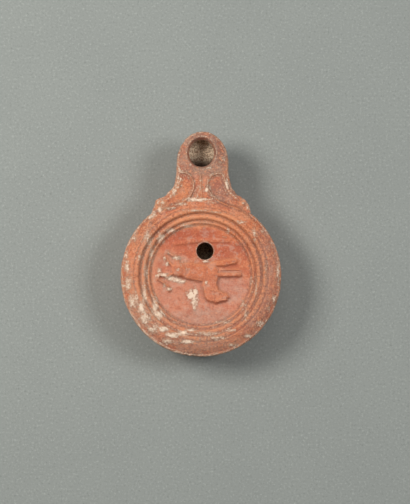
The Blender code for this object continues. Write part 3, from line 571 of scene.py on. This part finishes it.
# Lime crust: place in mm, half size across and along, strength
CRUST = [
    (-4.3, -8.4, 1.9, 1.7, 1.5), (-2.6, -7.2, 1.1, 1.7, 1.4), (-4.4, -6.2, 0.8, 0.8, 1.1),
    (-2.9, -11.0, 1.5, 2.4, 1.1), (-3.0, -14.0, 0.9, 1.4, 0.8), (2.3, -2.9, 0.7, 0.9, 1.0),
    (2.1, 6.8, 1.4, 0.5, 1.2), (-1.6, 9.0, 0.4, 1.4, 0.6), (-16.8, 0.6, 1.7, 0.8, 1.4),
    (-13.6, -0.9, 1.9, 0.9, 1.4), (-10.6, -1.8, 1.8, 0.9, 1.3), (-8.3, -2.4, 1.5, 0.8, 1.2),
    (-19.6, 0.3, 0.9, 0.8, 1.2), (-18.7, 2.3, 0.7, 1.4, 1.1), (-14.3, -5.8, 1.1, 0.8, 1.2),
    (-16.4, -4.0, 0.7, 0.9, 0.8), (-10.9, 8.3, 1.8, 0.9, 1.1), (-10.3, 2.9, 1.2, 0.8, 0.8),
    (-15.2, 5.6, 0.6, 1.2, 1.1), (-16.2, 8.2, 0.6, 0.9, 1.0), (-14.6, 10.6, 0.8, 1.2, 0.8),
    (-8.6, 6.0, 1.6, 1.4, 0.6), (-6.4, 3.2, 2.2, 0.8, 0.5), (-2.0, 34.1, 4.2, 0.7, 0.9),
    (-8.8, 32.2, 2.4, 0.6, 0.8), (-14.0, 30.4, 2.4, 0.5, 0.8), (4.6, 33.0, 2.4, 0.5, 0.7),
    (2.4, 38.6, 0.5, 0.6, 1.1), (21.1, 30.9, 0.8, 0.7, 1.1), (19.0, 32.8, 0.6, 0.6, 0.8),
    (-19.8, 33.2, 0.9, 0.9, 1.0), (-17.4, 33.0, 0.8, 0.6, 0.9), (-18.6, 30.0, 0.8, 1.4, 0.8),
    (8.4, 51.3, 1.2, 0.6, 0.7), (10.2, 52.8, 0.8, 0.8, 0.7), (3.6, 48.6, 1.3, 0.5, 0.9),
    (-9.8, 48.2, 0.8, 1.0, 0.7), (-10.3, 56.5, 0.7, 2.0, 0.6), (6.0, 57.0, 0.5, 2.6, 0.8),
    (-11.2, 44.0, 0.6, 2.6, 0.9), (-12.4, 39.6, 0.6, 2.0, 0.9), (11.8, 41.4, 0.6, 1.6, 0.8),
    (-9.6, 43.6, 1.2, 0.5, 0.7), (-24.0, 17.5, 1.4, 2.4, 0.7), (-27.5, 9.0, 1.0, 2.6, 0.5),
    (-33.2, 4.0, 1.2, 3.0, 0.9), (-32.8, -3.4, 1.8, 3.6, 0.8), (-30.6, -11.5, 2.2, 3.2, 0.9),
    (-26.6, -14.6, 1.4, 2.4, 1.0), (-25.2, -19.0, 2.0, 2.6, 0.9), (-21.4, -24.0, 2.4, 1.6, 0.9),
    (-16.8, -23.8, 1.6, 1.0, 1.1), (-13.0, -26.6, 2.6, 1.0, 0.9), (-15.2, -29.4, 2.6, 1.2, 0.8),
    (-6.2, -29.6, 2.4, 0.8, 1.0), (-8.6, -25.6, 2.2, 0.6, 1.0), (-4.2, -24.2, 1.6, 0.5, 1.0),
    (-20.5, -13.5, 1.0, 3.6, 0.8), (-18.6, -17.2, 1.4, 1.4, 1.0), (-25.2, -8.5, 0.8, 5.0, 0.7),
    (-24.6, 1.5, 0.7, 4.0, 0.6), (-22.2, 10.5, 0.8, 3.2, 0.6), (2.6, -25.6, 4.0, 0.6, 0.7),
    (7.6, -27.8, 3.4, 0.8, 0.7), (13.4, -24.4, 2.6, 1.0, 0.6), (20.0, -16.5, 0.8, 3.6, 0.6),
    (24.5, -6.0, 0.7, 4.4, 0.6), (29.0, 3.0, 0.7, 4.0, 0.5), (33.6, 12.0, 0.9, 3.0, 0.8),
    (34.6, 2.0, 0.7, 4.4, 0.9), (32.8, -10.5, 0.9, 2.4, 0.8), (26.4, -21.4, 1.8, 1.4, 0.9),
    (21.4, -27.0, 2.2, 0.9, 0.9), (14.0, -31.0, 2.6, 0.7, 0.8), (24.0, 19.0, 0.7, 3.0, 0.7),
    (17.5, 24.0, 1.8, 0.7, 0.8), (12.2, 20.4, 0.6, 1.0, 0.8), (28.0, 20.5, 0.9, 1.4, 0.7),
    (-33.6, 11.0, 0.9, 4.0, 0.8), (-30.0, 18.5, 1.0, 2.8, 0.8), (-22.8, 27.5, 2.0, 1.4, 0.9),
    (-13.6, 20.2, 2.2, 0.8, 0.8), (-18.0, 17.2, 1.2, 1.6, 0.9), (-6.4, 22.6, 2.4, 0.6, 0.8),
    (2.0, 23.6, 2.4, 0.5, 0.6), (-3.0, 29.2, 5.0, 0.5, 0.7), (7.0, 28.4, 3.0, 0.5, 0.6),
    (30.5, -14.0, 0.8, 2.6, 0.6), (35.0, -4.0, 0.6, 3.6, 0.8), (31.5, 15.0, 1.0, 2.4, 0.6),
    (16.0, 14.5, 1.0, 0.8, 0.6), (10.5, 17.5, 1.2, 0.8, 0.5), (22.6, -3.0, 0.6, 3.0, 0.6),
    (18.6, -12.6, 0.8, 2.4, 0.6), (10.0, -20.5, 2.6, 0.7, 0.6),
]
# Share of the grooves that holds crust, by direction in degrees from +X
GROOVE_CRUST = [
    (-180, 0.6), (-150, 0.85), (-120, 0.95), (-90, 0.8), (-60, 0.5), (-30, 0.3),
    (0, 0.3), (45, 0.45), (90, 0.45), (120, 0.6), (150, 0.8), (180, 0.6),
]
place = np.array(points)
zone = np.array(zones)
x, y = place[:, 0], place[:, 1]
face_up = zone == 0
level = top_height(x, y)


def bulge(reach):
    """Mean height of the upper face round each point, less its own height."""
    turns = np.arange(8) * math.pi / 4
    return sum(top_height(x + reach * math.cos(a), y + reach * math.sin(a)) for a in turns) / 8 - level


fine_dip = bulge(0.45 * MM) / (0.05 * MM)
wide_dip = bulge(1.1 * MM) / (0.22 * MM)
beast = np.where(face_up, beast_height(x, y) / (0.045 * FIGURE_LENGTH), 0.0)
from_rings = np.hypot(x, y - RING_OFFSET)
in_discus = 1.0 - ease(0.94 * DISCUS_RADIUS, DISCUS_RADIUS, from_rings)
dip = np.where(face_up, 0.5 * fine_dip + 0.5 * wide_dip, 0.0)
crust = np.zeros(len(place))
for cx, cy, sx, sy, strength in CRUST:
    away = ((x / MM - cx) / sx) ** 2 + ((y / MM - cy) / sy) ** 2
    crust = np.maximum(crust, strength * np.exp(-0.6 * away))
heading = np.degrees(np.arctan2(y, x))
share = np.interp(heading, *np.array(GROOVE_CRUST).T) * (1.0 - in_discus)
on_neck = np.where(y > NECK_START, 1.0, 0.0)
ridges = (0.30 + 0.35 * on_neck) * np.clip(-dip, 0.0, 1.0)
grooves = np.maximum(on_neck, share) * (0.14 + 0.45 * np.clip(dip, 0.0, 1.0) + ridges)
from_fill = np.hypot(x - FILL_CENTRE[0], y - FILL_CENTRE[1])
crust = np.maximum(crust, 0.9 * np.exp(-(((from_fill - FILL_RADIUS - 0.3 * MM) / (0.4 * MM)) ** 2)))
from_wick = np.hypot((x - WICK_CENTRE[0]) / WICK_HALF_WIDTH, (y - WICK_CENTRE[1]) / WICK_HALF_LENGTH)
crust = np.maximum(crust, 0.5 * np.exp(-(((from_wick - 1.15) / 0.07) ** 2)))
# Slope of the discus towards the nozzle: slopes turned away from the lights get painted shade, slopes facing
# them a painted highlight.
slope = (top_height(x, y + 0.3 * MM) - top_height(x, y - 0.3 * MM)) / (0.6 * MM)
slope = np.where(face_up, slope * in_discus, 0.0)
rim = np.where(zone == 1, ease(BELT_HEIGHT - 3.0 * MM, BELT_HEIGHT + BELT_BAND, place[:, 2]), 0.0)
values = {
    "dip": np.clip(dip, 0.0, 1.0) * np.where(y > NECK_START, 0.45, 1.0),
    "crest": np.clip(np.where(zone == 1, 0.7 * rim, -dip), 0.0, 1.0),
    "crust": np.where(face_up, 1.15 * crust + grooves, 0.0) + (0.48 + 0.40 * share) * rim,
    "rim": rim,
    "beast": np.clip(beast, 0.0, 1.0),
    "shade_slope": np.clip(slope / 0.7 - 0.15, 0.0, 1.0),
    "lit_slope": np.clip(-slope / 0.7 - 0.15, 0.0, 1.0),
    "calm": np.where(face_up, in_discus, np.where(zone == 1, 0.55, 0.0)),
    "within": (zone == 3).astype(float),
    "steady": (zone == 2).astype(float),
}
for name, data in values.items():
    attribute = mesh.attributes.new(name, "FLOAT", "POINT")
    attribute.data.foreach_set("value", data.astype(np.float32))


def link(tree, source, target):
    tree.links.new(source, target)


def add(tree, kind, inputs=None, **settings):
    """A node with its settings; inputs are values or sockets, by name or number."""
    node = tree.nodes.new(kind)
    for name, value in settings.items():
        setattr(node, name, value)
    for key, value in (inputs or {}).items():
        socket = node.inputs[key]
        if isinstance(value, bpy.types.NodeSocket):
            tree.links.new(value, socket)
        else:
            socket.default_value = value
    return node


def math_node(tree, operation, *values, clamp=False):
    node = add(tree, "ShaderNodeMath", dict(enumerate(values)), operation=operation)
    node.use_clamp = clamp
    return node.outputs[0]


def scaled(tree, value, share):
    return math_node(tree, "MULTIPLY", value, share)


def vector_node(tree, operation, first, second=None, scale=None):
    node = add(tree, "ShaderNodeVectorMath", {0: first}, operation=operation)
    if second is not None:
        if isinstance(second, bpy.types.NodeSocket):
            tree.links.new(second, node.inputs[1])
        else:
            node.inputs[1].default_value = second
    if scale is not None:
        if isinstance(scale, bpy.types.NodeSocket):
            tree.links.new(scale, node.inputs["Scale"])
        else:
            node.inputs["Scale"].default_value = scale
    return node.outputs[0]


def tree_input(tree, name, kind, value=None):
    socket = tree.interface.new_socket(name, in_out="INPUT", socket_type=kind)
    if value is not None:
        socket.default_value = value
    return socket


def noise(tree, vector, scale, detail=2.0, rough=0.5, w=None):
    wave = {"Vector": vector, "Scale": scale, "Detail": detail, "Roughness": rough}
    node = add(tree, "ShaderNodeTexNoise", wave)
    if w is not None:
        node.noise_dimensions = "4D"
        tree.links.new(w, node.inputs["W"])
    return node.outputs[0]


def span(tree, value, low, high, smooth=True):
    """Share of the way a value has come from low to high."""
    node = add(tree, "ShaderNodeMapRange", {"Value": value, "From Min": low, "From Max": high})
    node.interpolation_type = "SMOOTHSTEP" if smooth else "LINEAR"
    return node.outputs[0]


def blend_colors(tree, share, first, second):
    node = tree.nodes.new("ShaderNodeMix")
    node.data_type = "RGBA"
    for socket, value in ((node.inputs[0], share), (node.inputs[6], first), (node.inputs[7], second)):
        if isinstance(value, bpy.types.NodeSocket):
            tree.links.new(value, socket)
        else:
            socket.default_value = value
    return node.outputs[2]


# Skin of the clay: slow unevenness, lumps, grain, pits and chips pressed inwards, crust laid on
skin = bpy.data.node_groups.new("clay_skin", "GeometryNodeTree")
tree_input(skin, "Geometry", "NodeSocketGeometry")
skin_settings = {
    "Unevenness": 0.30 * MM,
    "Lumps": 0.16 * MM,
    "Grain": 0.12 * MM,
    "Pit Depth": 0.22 * MM,
    "Chip Depth": 0.7 * MM,
    "Crust Thickness": 0.20 * MM,
    "Seed": 4.0,
}
for name, value in skin_settings.items():
    tree_input(skin, name, "NodeSocketFloat", value)
tree_input(skin, "Material", "NodeSocketMaterial")
skin.interface.new_socket("Geometry", in_out="OUTPUT", socket_type="NodeSocketGeometry")
entry = skin.nodes.new("NodeGroupInput")
where = add(skin, "GeometryNodeInputPosition").outputs[0]
facing = add(skin, "GeometryNodeInputNormal").outputs[0]
read = {}
for name in ("crust", "steady", "rim"):
    node = add(skin, "GeometryNodeInputNamedAttribute", {"Name": name}, data_type="FLOAT")
    read[name] = node.outputs[0]
seed = entry.outputs["Seed"]
later = math_node(skin, "ADD", seed, 7.0)
parts = [
    (noise(skin, where, 75.0, 2.0, 0.5, seed), "Unevenness"),
    (noise(skin, where, 260.0, 2.0, 0.5, later), "Lumps"),
    (noise(skin, where, 900.0, 3.0, 0.65, seed), "Grain"),
    (span(skin, noise(skin, where, 420.0, 1.0, 0.4, later), 0.66, 0.74), "Pit Depth"),
]
chips = span(skin, noise(skin, where, 160.0, 3.0, 0.6, later), 0.56, 0.72)
parts.append((math_node(skin, "MULTIPLY", chips, read["rim"]), "Chip Depth"))
inward = 0.0
for share, name in parts:
    inward = math_node(skin, "ADD", inward, math_node(skin, "MULTIPLY", share, entry.outputs[name]))
crumbs = noise(skin, where, 1100.0, 3.0, 0.7, seed)
rough = math_node(skin, "ADD", crumbs, scaled(skin, read["crust"], 0.30))
thick = math_node(skin, "MULTIPLY", span(skin, rough, 0.68, 0.90), entry.outputs["Crust Thickness"])
outward = math_node(skin, "SUBTRACT", thick, inward)
calm = math_node(skin, "SUBTRACT", 1.0, read["steady"])
moved = vector_node(skin, "SCALE", facing, scale=math_node(skin, "MULTIPLY", outward, calm))
shifted = add(skin, "GeometryNodeSetPosition", {"Geometry": entry.outputs["Geometry"], "Offset": moved})
solid = add(skin, "GeometryNodeRealizeInstances", {"Geometry": shifted.outputs[0]})
finish = {"Geometry": solid.outputs[0], "Material": entry.outputs["Material"]}
painted = add(skin, "GeometryNodeSetMaterial", finish)
leave = skin.nodes.new("NodeGroupOutput")
link(skin, painted.outputs[0], leave.inputs[0])


# Crust mask: a broken film and, where there is more, thick grains
crust_mask = bpy.data.node_groups.new("crust_mask", "ShaderNodeTree")
tree_input(crust_mask, "Place", "NodeSocketVector")
tree_input(crust_mask, "Amount", "NodeSocketFloat", 0.0)
for name in ("Film", "Thick"):
    crust_mask.interface.new_socket(name, in_out="OUTPUT", socket_type="NodeSocketFloat")
entry = crust_mask.nodes.new("NodeGroupInput")
leave = crust_mask.nodes.new("NodeGroupOutput")
ragged = noise(crust_mask, entry.outputs["Place"], 0.8, 4.0, 0.8)
grains = noise(crust_mask, entry.outputs["Place"], 2.2, 3.0, 0.75)
broken = math_node(crust_mask, "ADD", scaled(crust_mask, ragged, 0.6), scaled(crust_mask, grains, 0.95))
amount = math_node(crust_mask, "ADD", scaled(crust_mask, entry.outputs["Amount"], 0.265), broken)
link(crust_mask, span(crust_mask, amount, 0.91, 1.04), leave.inputs["Film"])
link(crust_mask, span(crust_mask, amount, 1.02, 1.12), leave.inputs["Thick"])

# Soft patch: an oval area with a wandering edge
soft_patch = bpy.data.node_groups.new("soft_patch", "ShaderNodeTree")
tree_input(soft_patch, "Place", "NodeSocketVector")
tree_input(soft_patch, "Centre", "NodeSocketVector")
tree_input(soft_patch, "Size", "NodeSocketVector")
tree_input(soft_patch, "Wander", "NodeSocketFloat", 6.0)
soft_patch.interface.new_socket("Mask", in_out="OUTPUT", socket_type="NodeSocketFloat")
entry = soft_patch.nodes.new("NodeGroupInput")
leave = soft_patch.nodes.new("NodeGroupOutput")
wave = {"Vector": entry.outputs["Place"], "Scale": 0.22, "Detail": 4.0, "Roughness": 0.65}
field = add(soft_patch, "ShaderNodeTexNoise", wave)
drift = vector_node(soft_patch, "SUBTRACT", field.outputs["Color"], (0.5, 0.5, 0.5))
drift = vector_node(soft_patch, "SCALE", drift, scale=entry.outputs["Wander"])
from_middle = vector_node(soft_patch, "SUBTRACT", entry.outputs["Place"], entry.outputs["Centre"])
from_middle = vector_node(soft_patch, "ADD", from_middle, drift)
from_middle = vector_node(soft_patch, "DIVIDE", from_middle, entry.outputs["Size"])
distance = add(soft_patch, "ShaderNodeVectorMath", {0: from_middle}, operation="LENGTH").outputs["Value"]
link(soft_patch, span(soft_patch, distance, 1.35, 0.65), leave.inputs["Mask"])


def new_material(name):
    material = bpy.data.materials.new(name)
    material.use_nodes = True
    tree = material.node_tree
    shader = tree.nodes["Principled BSDF"]
    place = vector_node(tree, "SCALE", add(tree, "ShaderNodeTexCoord").outputs["Object"], scale=1000.0)
    return material, tree, shader, place


def use_group(tree, group, inputs):
    node = tree.nodes.new("ShaderNodeGroup")
    node.node_tree = group
    for name, value in inputs.items():
        if isinstance(value, bpy.types.NodeSocket):
            link(tree, value, node.inputs[name])
        else:
            node.inputs[name].default_value = value
    return node.outputs


def read_attribute(tree, name):
    return add(tree, "ShaderNodeAttribute", attribute_name=name).outputs["Fac"]


clay, tree, shader, place_mm = new_material("fired_clay")
dip = read_attribute(tree, "dip")
crest = read_attribute(tree, "crest")
within = read_attribute(tree, "within")
beast = read_attribute(tree, "beast")
calm = read_attribute(tree, "calm")
scum = use_group(tree, crust_mask, {"Place": place_mm, "Amount": read_attribute(tree, "crust")})
clouds = noise(tree, place_mm, 0.14, 4.0, 0.62)
blotches = noise(tree, place_mm, 0.33, 4.0, 0.7)
flecks = noise(tree, place_mm, 0.95, 4.0, 0.75)
specks = noise(tree, place_mm, 1.9, 2.0, 0.6)
grain = noise(tree, place_mm, 3.4, 3.0, 0.7)
red_slip = (0.48, 0.120, 0.060, 1.0)
orange_slip = (0.64, 0.200, 0.090, 1.0)
# Orange of bare, worn clay, also used as a painted highlight on the lit discus slopes.
bare_and_lit_orange = (0.74, 0.290, 0.135, 1.0)
haze = (0.60, 0.380, 0.290, 1.0)
# Dark red of the painted shade on the discus slopes turned away from the lights.
painted_shade_red = (0.30, 0.070, 0.034, 1.0)
dirt = (0.20, 0.090, 0.058, 1.0)
pale_speck = (0.80, 0.450, 0.280, 1.0)
lime = (0.78, 0.580, 0.420, 1.0)
lime_grain = (0.88, 0.680, 0.510, 1.0)
beast_slip = (0.62, 0.165, 0.064, 1.0)
dark_ash = (0.40, 0.225, 0.135, 1.0)
pale_ash = (0.95, 0.740, 0.520, 1.0)
# Black of the painted shadow in the lower part of the wick hole.
painted_shadow_black = (0.050, 0.022, 0.012, 1.0)
# Height in mm of the patches' middle, and their half height, which reaches over the whole wall
PATCH_MIDDLE = 20.0
PATCH_HALF_HEIGHT = 40.0
# Patches of tone, and of painted light and shade where marked: centre and half size in mm, colour, share
TONE_AND_LIGHT_PATCHES = [
    ((-2.0, -12.0), (24.0, 15.0), (0.62, 0.262, 0.170), 0.75),
    ((12.0, -5.0), (9.0, 7.0), (0.53, 0.250, 0.180), 0.65),
    ((2.0, -18.5), (14.0, 4.5), (0.45, 0.225, 0.160), 0.70),
    ((14.0, 14.0), (6.0, 5.0), (0.42, 0.115, 0.062), 0.70),
    ((28.5, 4.0), (3.2, 15.0), (0.36, 0.135, 0.088), 0.80),
    ((26.0, 20.0), (7.5, 7.5), (0.37, 0.092, 0.038), 0.82),
    ((-26.0, 20.0), (7.5, 8.5), (0.36, 0.120, 0.058), 0.82),
    ((0.0, -28.0), (13.0, 3.0), (0.40, 0.165, 0.105), 0.65),
    ((0.0, 28.5), (12.0, 2.6), (0.74, 0.240, 0.105), 0.70),
    ((-18.0, 32.0), (3.5, 2.5), (0.76, 0.340, 0.165), 0.70),
    ((18.5, 32.0), (3.0, 2.5), (0.70, 0.250, 0.110), 0.65),
    ((0.0, 39.5), (2.2, 3.6), (0.72, 0.240, 0.115), 0.70),
    ((-13.0, 13.0), (6.0, 4.0), (0.68, 0.190, 0.092), 0.60),
    ((-10.0, 7.2), (5.5, 2.8), (0.66, 0.410, 0.300), 0.55),
    ((13.5, 1.8), (3.5, 0.9), (0.62, 0.430, 0.330), 0.60),
    ((0.0, 17.0), (20.0, 7.5), (0.54, 0.120, 0.058), 0.72),
    ((-27.0, 2.0), (8.0, 20.0), (0.68, 0.235, 0.110), 0.55),
    ((17.0, 21.0), (9.0, 6.0), (0.72, 0.215, 0.085), 0.75),
    ((0.0, -33.0), (24.0, 6.5), (0.40, 0.205, 0.140), 0.75),
    # Darker brown on the lower right shoulder: partly the clay's own tone, partly painted shade on the side
    # away from the key light.
    ((27.0, -20.0), (9.0, 11.0), (0.37, 0.165, 0.115), 0.70),
    ((32.0, 6.0), (7.0, 18.0), (0.45, 0.195, 0.130), 0.65),
    ((-26.0, -20.0), (9.0, 10.0), (0.56, 0.290, 0.195), 0.55),
    ((9.0, 38.0), (6.0, 6.0), (0.31, 0.145, 0.105), 0.80),
    ((-9.5, 37.0), (5.0, 6.0), (0.60, 0.205, 0.085), 0.70),
    ((19.0, 30.0), (6.0, 5.0), (0.60, 0.235, 0.125), 0.60),
    ((0.0, 58.0), (18.0, 13.0), (0.36, 0.190, 0.130), 0.85),
    ((1.0, 63.5), (9.0, 4.0), (0.30, 0.140, 0.098), 0.70),
    ((9.5, 58.0), (4.0, 9.0), (0.22, 0.095, 0.065), 0.70),
    ((3.0, 48.0), (9.0, 2.6), (0.31, 0.200, 0.145), 0.60),
    # Painted highlight: lightens the rings on the nozzle's side, whose inner slopes face away from the
    # lights.
    ((0.0, 25.5), (15.0, 4.0), (0.92, 0.360, 0.165), 0.75),
    ((-24.0, 3.0), (4.5, 15.0), (0.76, 0.330, 0.200), 0.50),
    ((-14.0, 6.0), (7.0, 7.0), (0.70, 0.290, 0.180), 0.40),
]
color = blend_colors(tree, span(tree, clouds, 0.36, 0.62), red_slip, orange_slip)
for (cx, cy), (sx, sy), tint, share in TONE_AND_LIGHT_PATCHES:
    patch = {"Place": place_mm, "Centre": (cx, cy, PATCH_MIDDLE), "Size": (sx, sy, PATCH_HALF_HEIGHT)}
    mask = use_group(tree, soft_patch, patch)["Mask"]
    color = blend_colors(tree, scaled(tree, mask, share), color, (*tint, 1.0))
color = blend_colors(tree, scaled(tree, span(tree, beast, 0.15, 0.75), 0.6), color, beast_slip)
hazy = math_node(tree, "ADD", 0.30, scaled(tree, calm, 0.15))
color = blend_colors(tree, math_node(tree, "MULTIPLY", span(tree, blotches, 0.50, 0.62), hazy), color, haze)
color = blend_colors(tree, scaled(tree, span(tree, blotches, 0.48, 0.36), 0.5), color, red_slip)
raw = math_node(tree, "SUBTRACT", 1.0, scaled(tree, calm, 0.55))
light_fleck = math_node(tree, "MULTIPLY", span(tree, flecks, 0.52, 0.64), raw)
dark_fleck = math_node(tree, "MULTIPLY", span(tree, flecks, 0.46, 0.33), raw)
color = blend_colors(tree, scaled(tree, light_fleck, 0.75), color, bare_and_lit_orange)
color = blend_colors(tree, scaled(tree, dark_fleck, 0.70), color, dirt)
# Painted highlight on the discus slopes that face the lights and painted shade on those turned away from
# them.
color = blend_colors(tree, scaled(tree, read_attribute(tree, "lit_slope"), 0.40), color, bare_and_lit_orange)
color = blend_colors(tree, scaled(tree, read_attribute(tree, "shade_slope"), 0.42), color, painted_shade_red)
worn = math_node(tree, "MULTIPLY", math_node(tree, "MULTIPLY", crest, raw), span(tree, flecks, 0.34, 0.60))
color = blend_colors(tree, scaled(tree, worn, 0.9), color, bare_and_lit_orange)
color = blend_colors(tree, scaled(tree, math_node(tree, "MULTIPLY", dip, raw), 0.38), color, dirt)
light_speck = math_node(tree, "MULTIPLY", span(tree, specks, 0.57, 0.68), raw)
dark_speck = math_node(tree, "MULTIPLY", span(tree, specks, 0.42, 0.31), raw)
color = blend_colors(tree, scaled(tree, light_speck, 0.55), color, pale_speck)
color = blend_colors(tree, scaled(tree, dark_speck, 0.65), color, dirt)
color = blend_colors(tree, scaled(tree, scum["Film"], 0.7), color, lime)
color = blend_colors(tree, scum["Thick"], color, lime_grain)
streaks = math_node(tree, "ADD", scaled(tree, specks, 0.5), scaled(tree, flecks, 0.5))
ash = blend_colors(tree, span(tree, streaks, 0.45, 0.54), dark_ash, pale_ash)
# Painted shadow: black across the lower part of the wick hole, where its edge shades the channel below.
along = add(tree, "ShaderNodeSeparateXYZ", {0: place_mm}).outputs["Y"]
hole_shadow = math_node(tree, "MULTIPLY", span(tree, along, 45.0, 47.0), span(tree, along, 56.5, 51.0))
ash = blend_colors(tree, scaled(tree, hole_shadow, 0.93), ash, painted_shadow_black)
color = blend_colors(tree, within, color, ash)
link(tree, color, shader.inputs["Base Color"])
rough = math_node(tree, "ADD", 0.60, scaled(tree, flecks, 0.25))
rough = math_node(tree, "ADD", rough, scaled(tree, scum["Film"], 0.15), clamp=True)
link(tree, rough, shader.inputs["Roughness"])
height = math_node(tree, "ADD", scaled(tree, grain, 0.6), scaled(tree, flecks, 1.2))
height = math_node(tree, "ADD", height, scaled(tree, scum["Film"], 0.7))
bump = add(tree, "ShaderNodeBump", {"Height": height, "Strength": 0.9, "Distance": 0.00025})
link(tree, bump.outputs[0], shader.inputs["Normal"])
shader.inputs["Specular IOR Level"].default_value = 0.3


def carve(mesh, name, tree, settings, material):
    """The mesh after a node tree, as a plain mesh object at the origin."""
    piece = bpy.data.objects.new(name, mesh)
    bpy.context.scene.collection.objects.link(piece)
    modifier = piece.modifiers.new(name, "NODES")
    modifier.node_group = tree
    for item in tree.interface.items_tree:
        if item.item_type == "SOCKET" and item.in_out == "INPUT" and item.name in settings:
            modifier[item.identifier] = settings[item.name]
        if item.item_type == "SOCKET" and item.in_out == "INPUT" and item.name == "Material":
            modifier[item.identifier] = material
    bpy.context.view_layer.update()
    shaped = piece.evaluated_get(bpy.context.evaluated_depsgraph_get())
    baked = bpy.data.meshes.new_from_object(shaped)
    piece.modifiers.clear()
    piece.data = baked
    baked.name = name
    return piece


lamp = carve(mesh, "lamp_body", skin, skin_settings, clay)
lamp.data.shade_smooth()
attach(lamp, "root")
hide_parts("oil_lamp")


# Ground
# A plain sheet of smooth grey paper that the lamp lies on, faintly uneven in tone, with fine fibres.
# Its colour is painted darker towards the bowl's side, as painted shade where less light falls on it.

SHADED_PAPER_GREY = (0.285, 0.302, 0.281, 1.0)
LIT_PAPER_GREY = (0.395, 0.420, 0.390, 1.0)
CLOUD_GREY = (0.322, 0.342, 0.315, 1.0)
DARK_FIBRE = (0.20, 0.215, 0.198, 1.0)
PALE_FIBRE = (0.43, 0.455, 0.42, 1.0)
bpy.ops.mesh.primitive_plane_add(size=3.0, location=(0.0, 0.3, 0.0))
ground = bpy.context.active_object
ground.name = "ground"
paper, tree, shader, place_mm = new_material("grey_paper")
cloud = noise(tree, place_mm, 0.03, 3.0, 0.6)
fibres = noise(tree, place_mm, 0.9, 3.0, 0.75)
along = add(tree, "ShaderNodeSeparateXYZ", {0: place_mm}).outputs["Y"]
# Painted shade and light: darker towards the bowl's side, lighter beyond the nozzle.
color = blend_colors(tree, span(tree, along, -130.0, 150.0, smooth=False), SHADED_PAPER_GREY, LIT_PAPER_GREY)
color = blend_colors(tree, scaled(tree, span(tree, cloud, 0.35, 0.65), 0.2), color, CLOUD_GREY)
color = blend_colors(tree, scaled(tree, span(tree, fibres, 0.46, 0.28), 0.75), color, DARK_FIBRE)
color = blend_colors(tree, scaled(tree, span(tree, fibres, 0.54, 0.72), 0.75), color, PALE_FIBRE)
link(tree, color, shader.inputs["Base Color"])
fibre = add(tree, "ShaderNodeBump", {"Height": fibres, "Strength": 0.15, "Distance": 0.0002})
link(tree, fibre.outputs[0], shader.inputs["Normal"])
shader.inputs["Roughness"].default_value = 0.9
ground.data.materials.append(paper)


# Light
# A soft lamp on the left and another on the right, a weak one beyond the nozzle, and an even surround.

def soft_light(name, place, size, power, tint):
    data = bpy.data.lights.new(name, "AREA")
    data.size = size
    data.energy = power
    data.color = tint
    light = bpy.data.objects.new(name, data)
    bpy.context.scene.collection.objects.link(light)
    light.location = place
    aim = Vector((0.0, 0.01, 0.0)) - Vector(place)
    light.rotation_euler = aim.to_track_quat("-Z", "Y").to_euler()


soft_light("key_light", (-0.47, 0.19, 0.60), 0.30, 4.6, (1.0, 0.985, 0.96))
soft_light("side_light", (0.62, 0.14, 0.80), 0.34, 4.5, (0.97, 0.985, 1.0))
soft_light("far_light", (0.0, 0.34, 0.86), 0.40, 0.9, (1.0, 0.99, 0.98))
world = bpy.data.worlds.new("surround")
world.use_nodes = True
surround = world.node_tree.nodes["Background"]
surround.inputs["Color"].default_value = (0.95, 0.98, 1.0, 1.0)
surround.inputs["Strength"].default_value = 0.10
bpy.context.scene.world = world


# Camera
# It looks almost straight down, a little from the bowl's side, with the filling hole near the middle.

LOOK_AT = Vector((1.8 * MM, 11.0 * MM, 20.0 * MM))
CAMERA_DISTANCE = 0.80
CAMERA_HEIGHT_ANGLE = 86.0
PICTURE_HEIGHT = 0.2268
SENSOR_WIDTH = 36.0
camera_data = bpy.data.cameras.new("camera")
camera_data.sensor_width = SENSOR_WIDTH
camera_data.lens = SENSOR_WIDTH * CAMERA_DISTANCE / PICTURE_HEIGHT
camera = bpy.data.objects.new("camera", camera_data)
bpy.context.scene.collection.objects.link(camera)
lean = math.radians(CAMERA_HEIGHT_ANGLE)
camera.location = LOOK_AT + CAMERA_DISTANCE * Vector((0.0, -math.cos(lean), math.sin(lean)))
camera.rotation_euler = (math.radians(90.0) - lean, 0.0, 0.0)
bpy.context.scene.camera = camera
bpy.context.scene.view_settings.view_transform = "Standard"
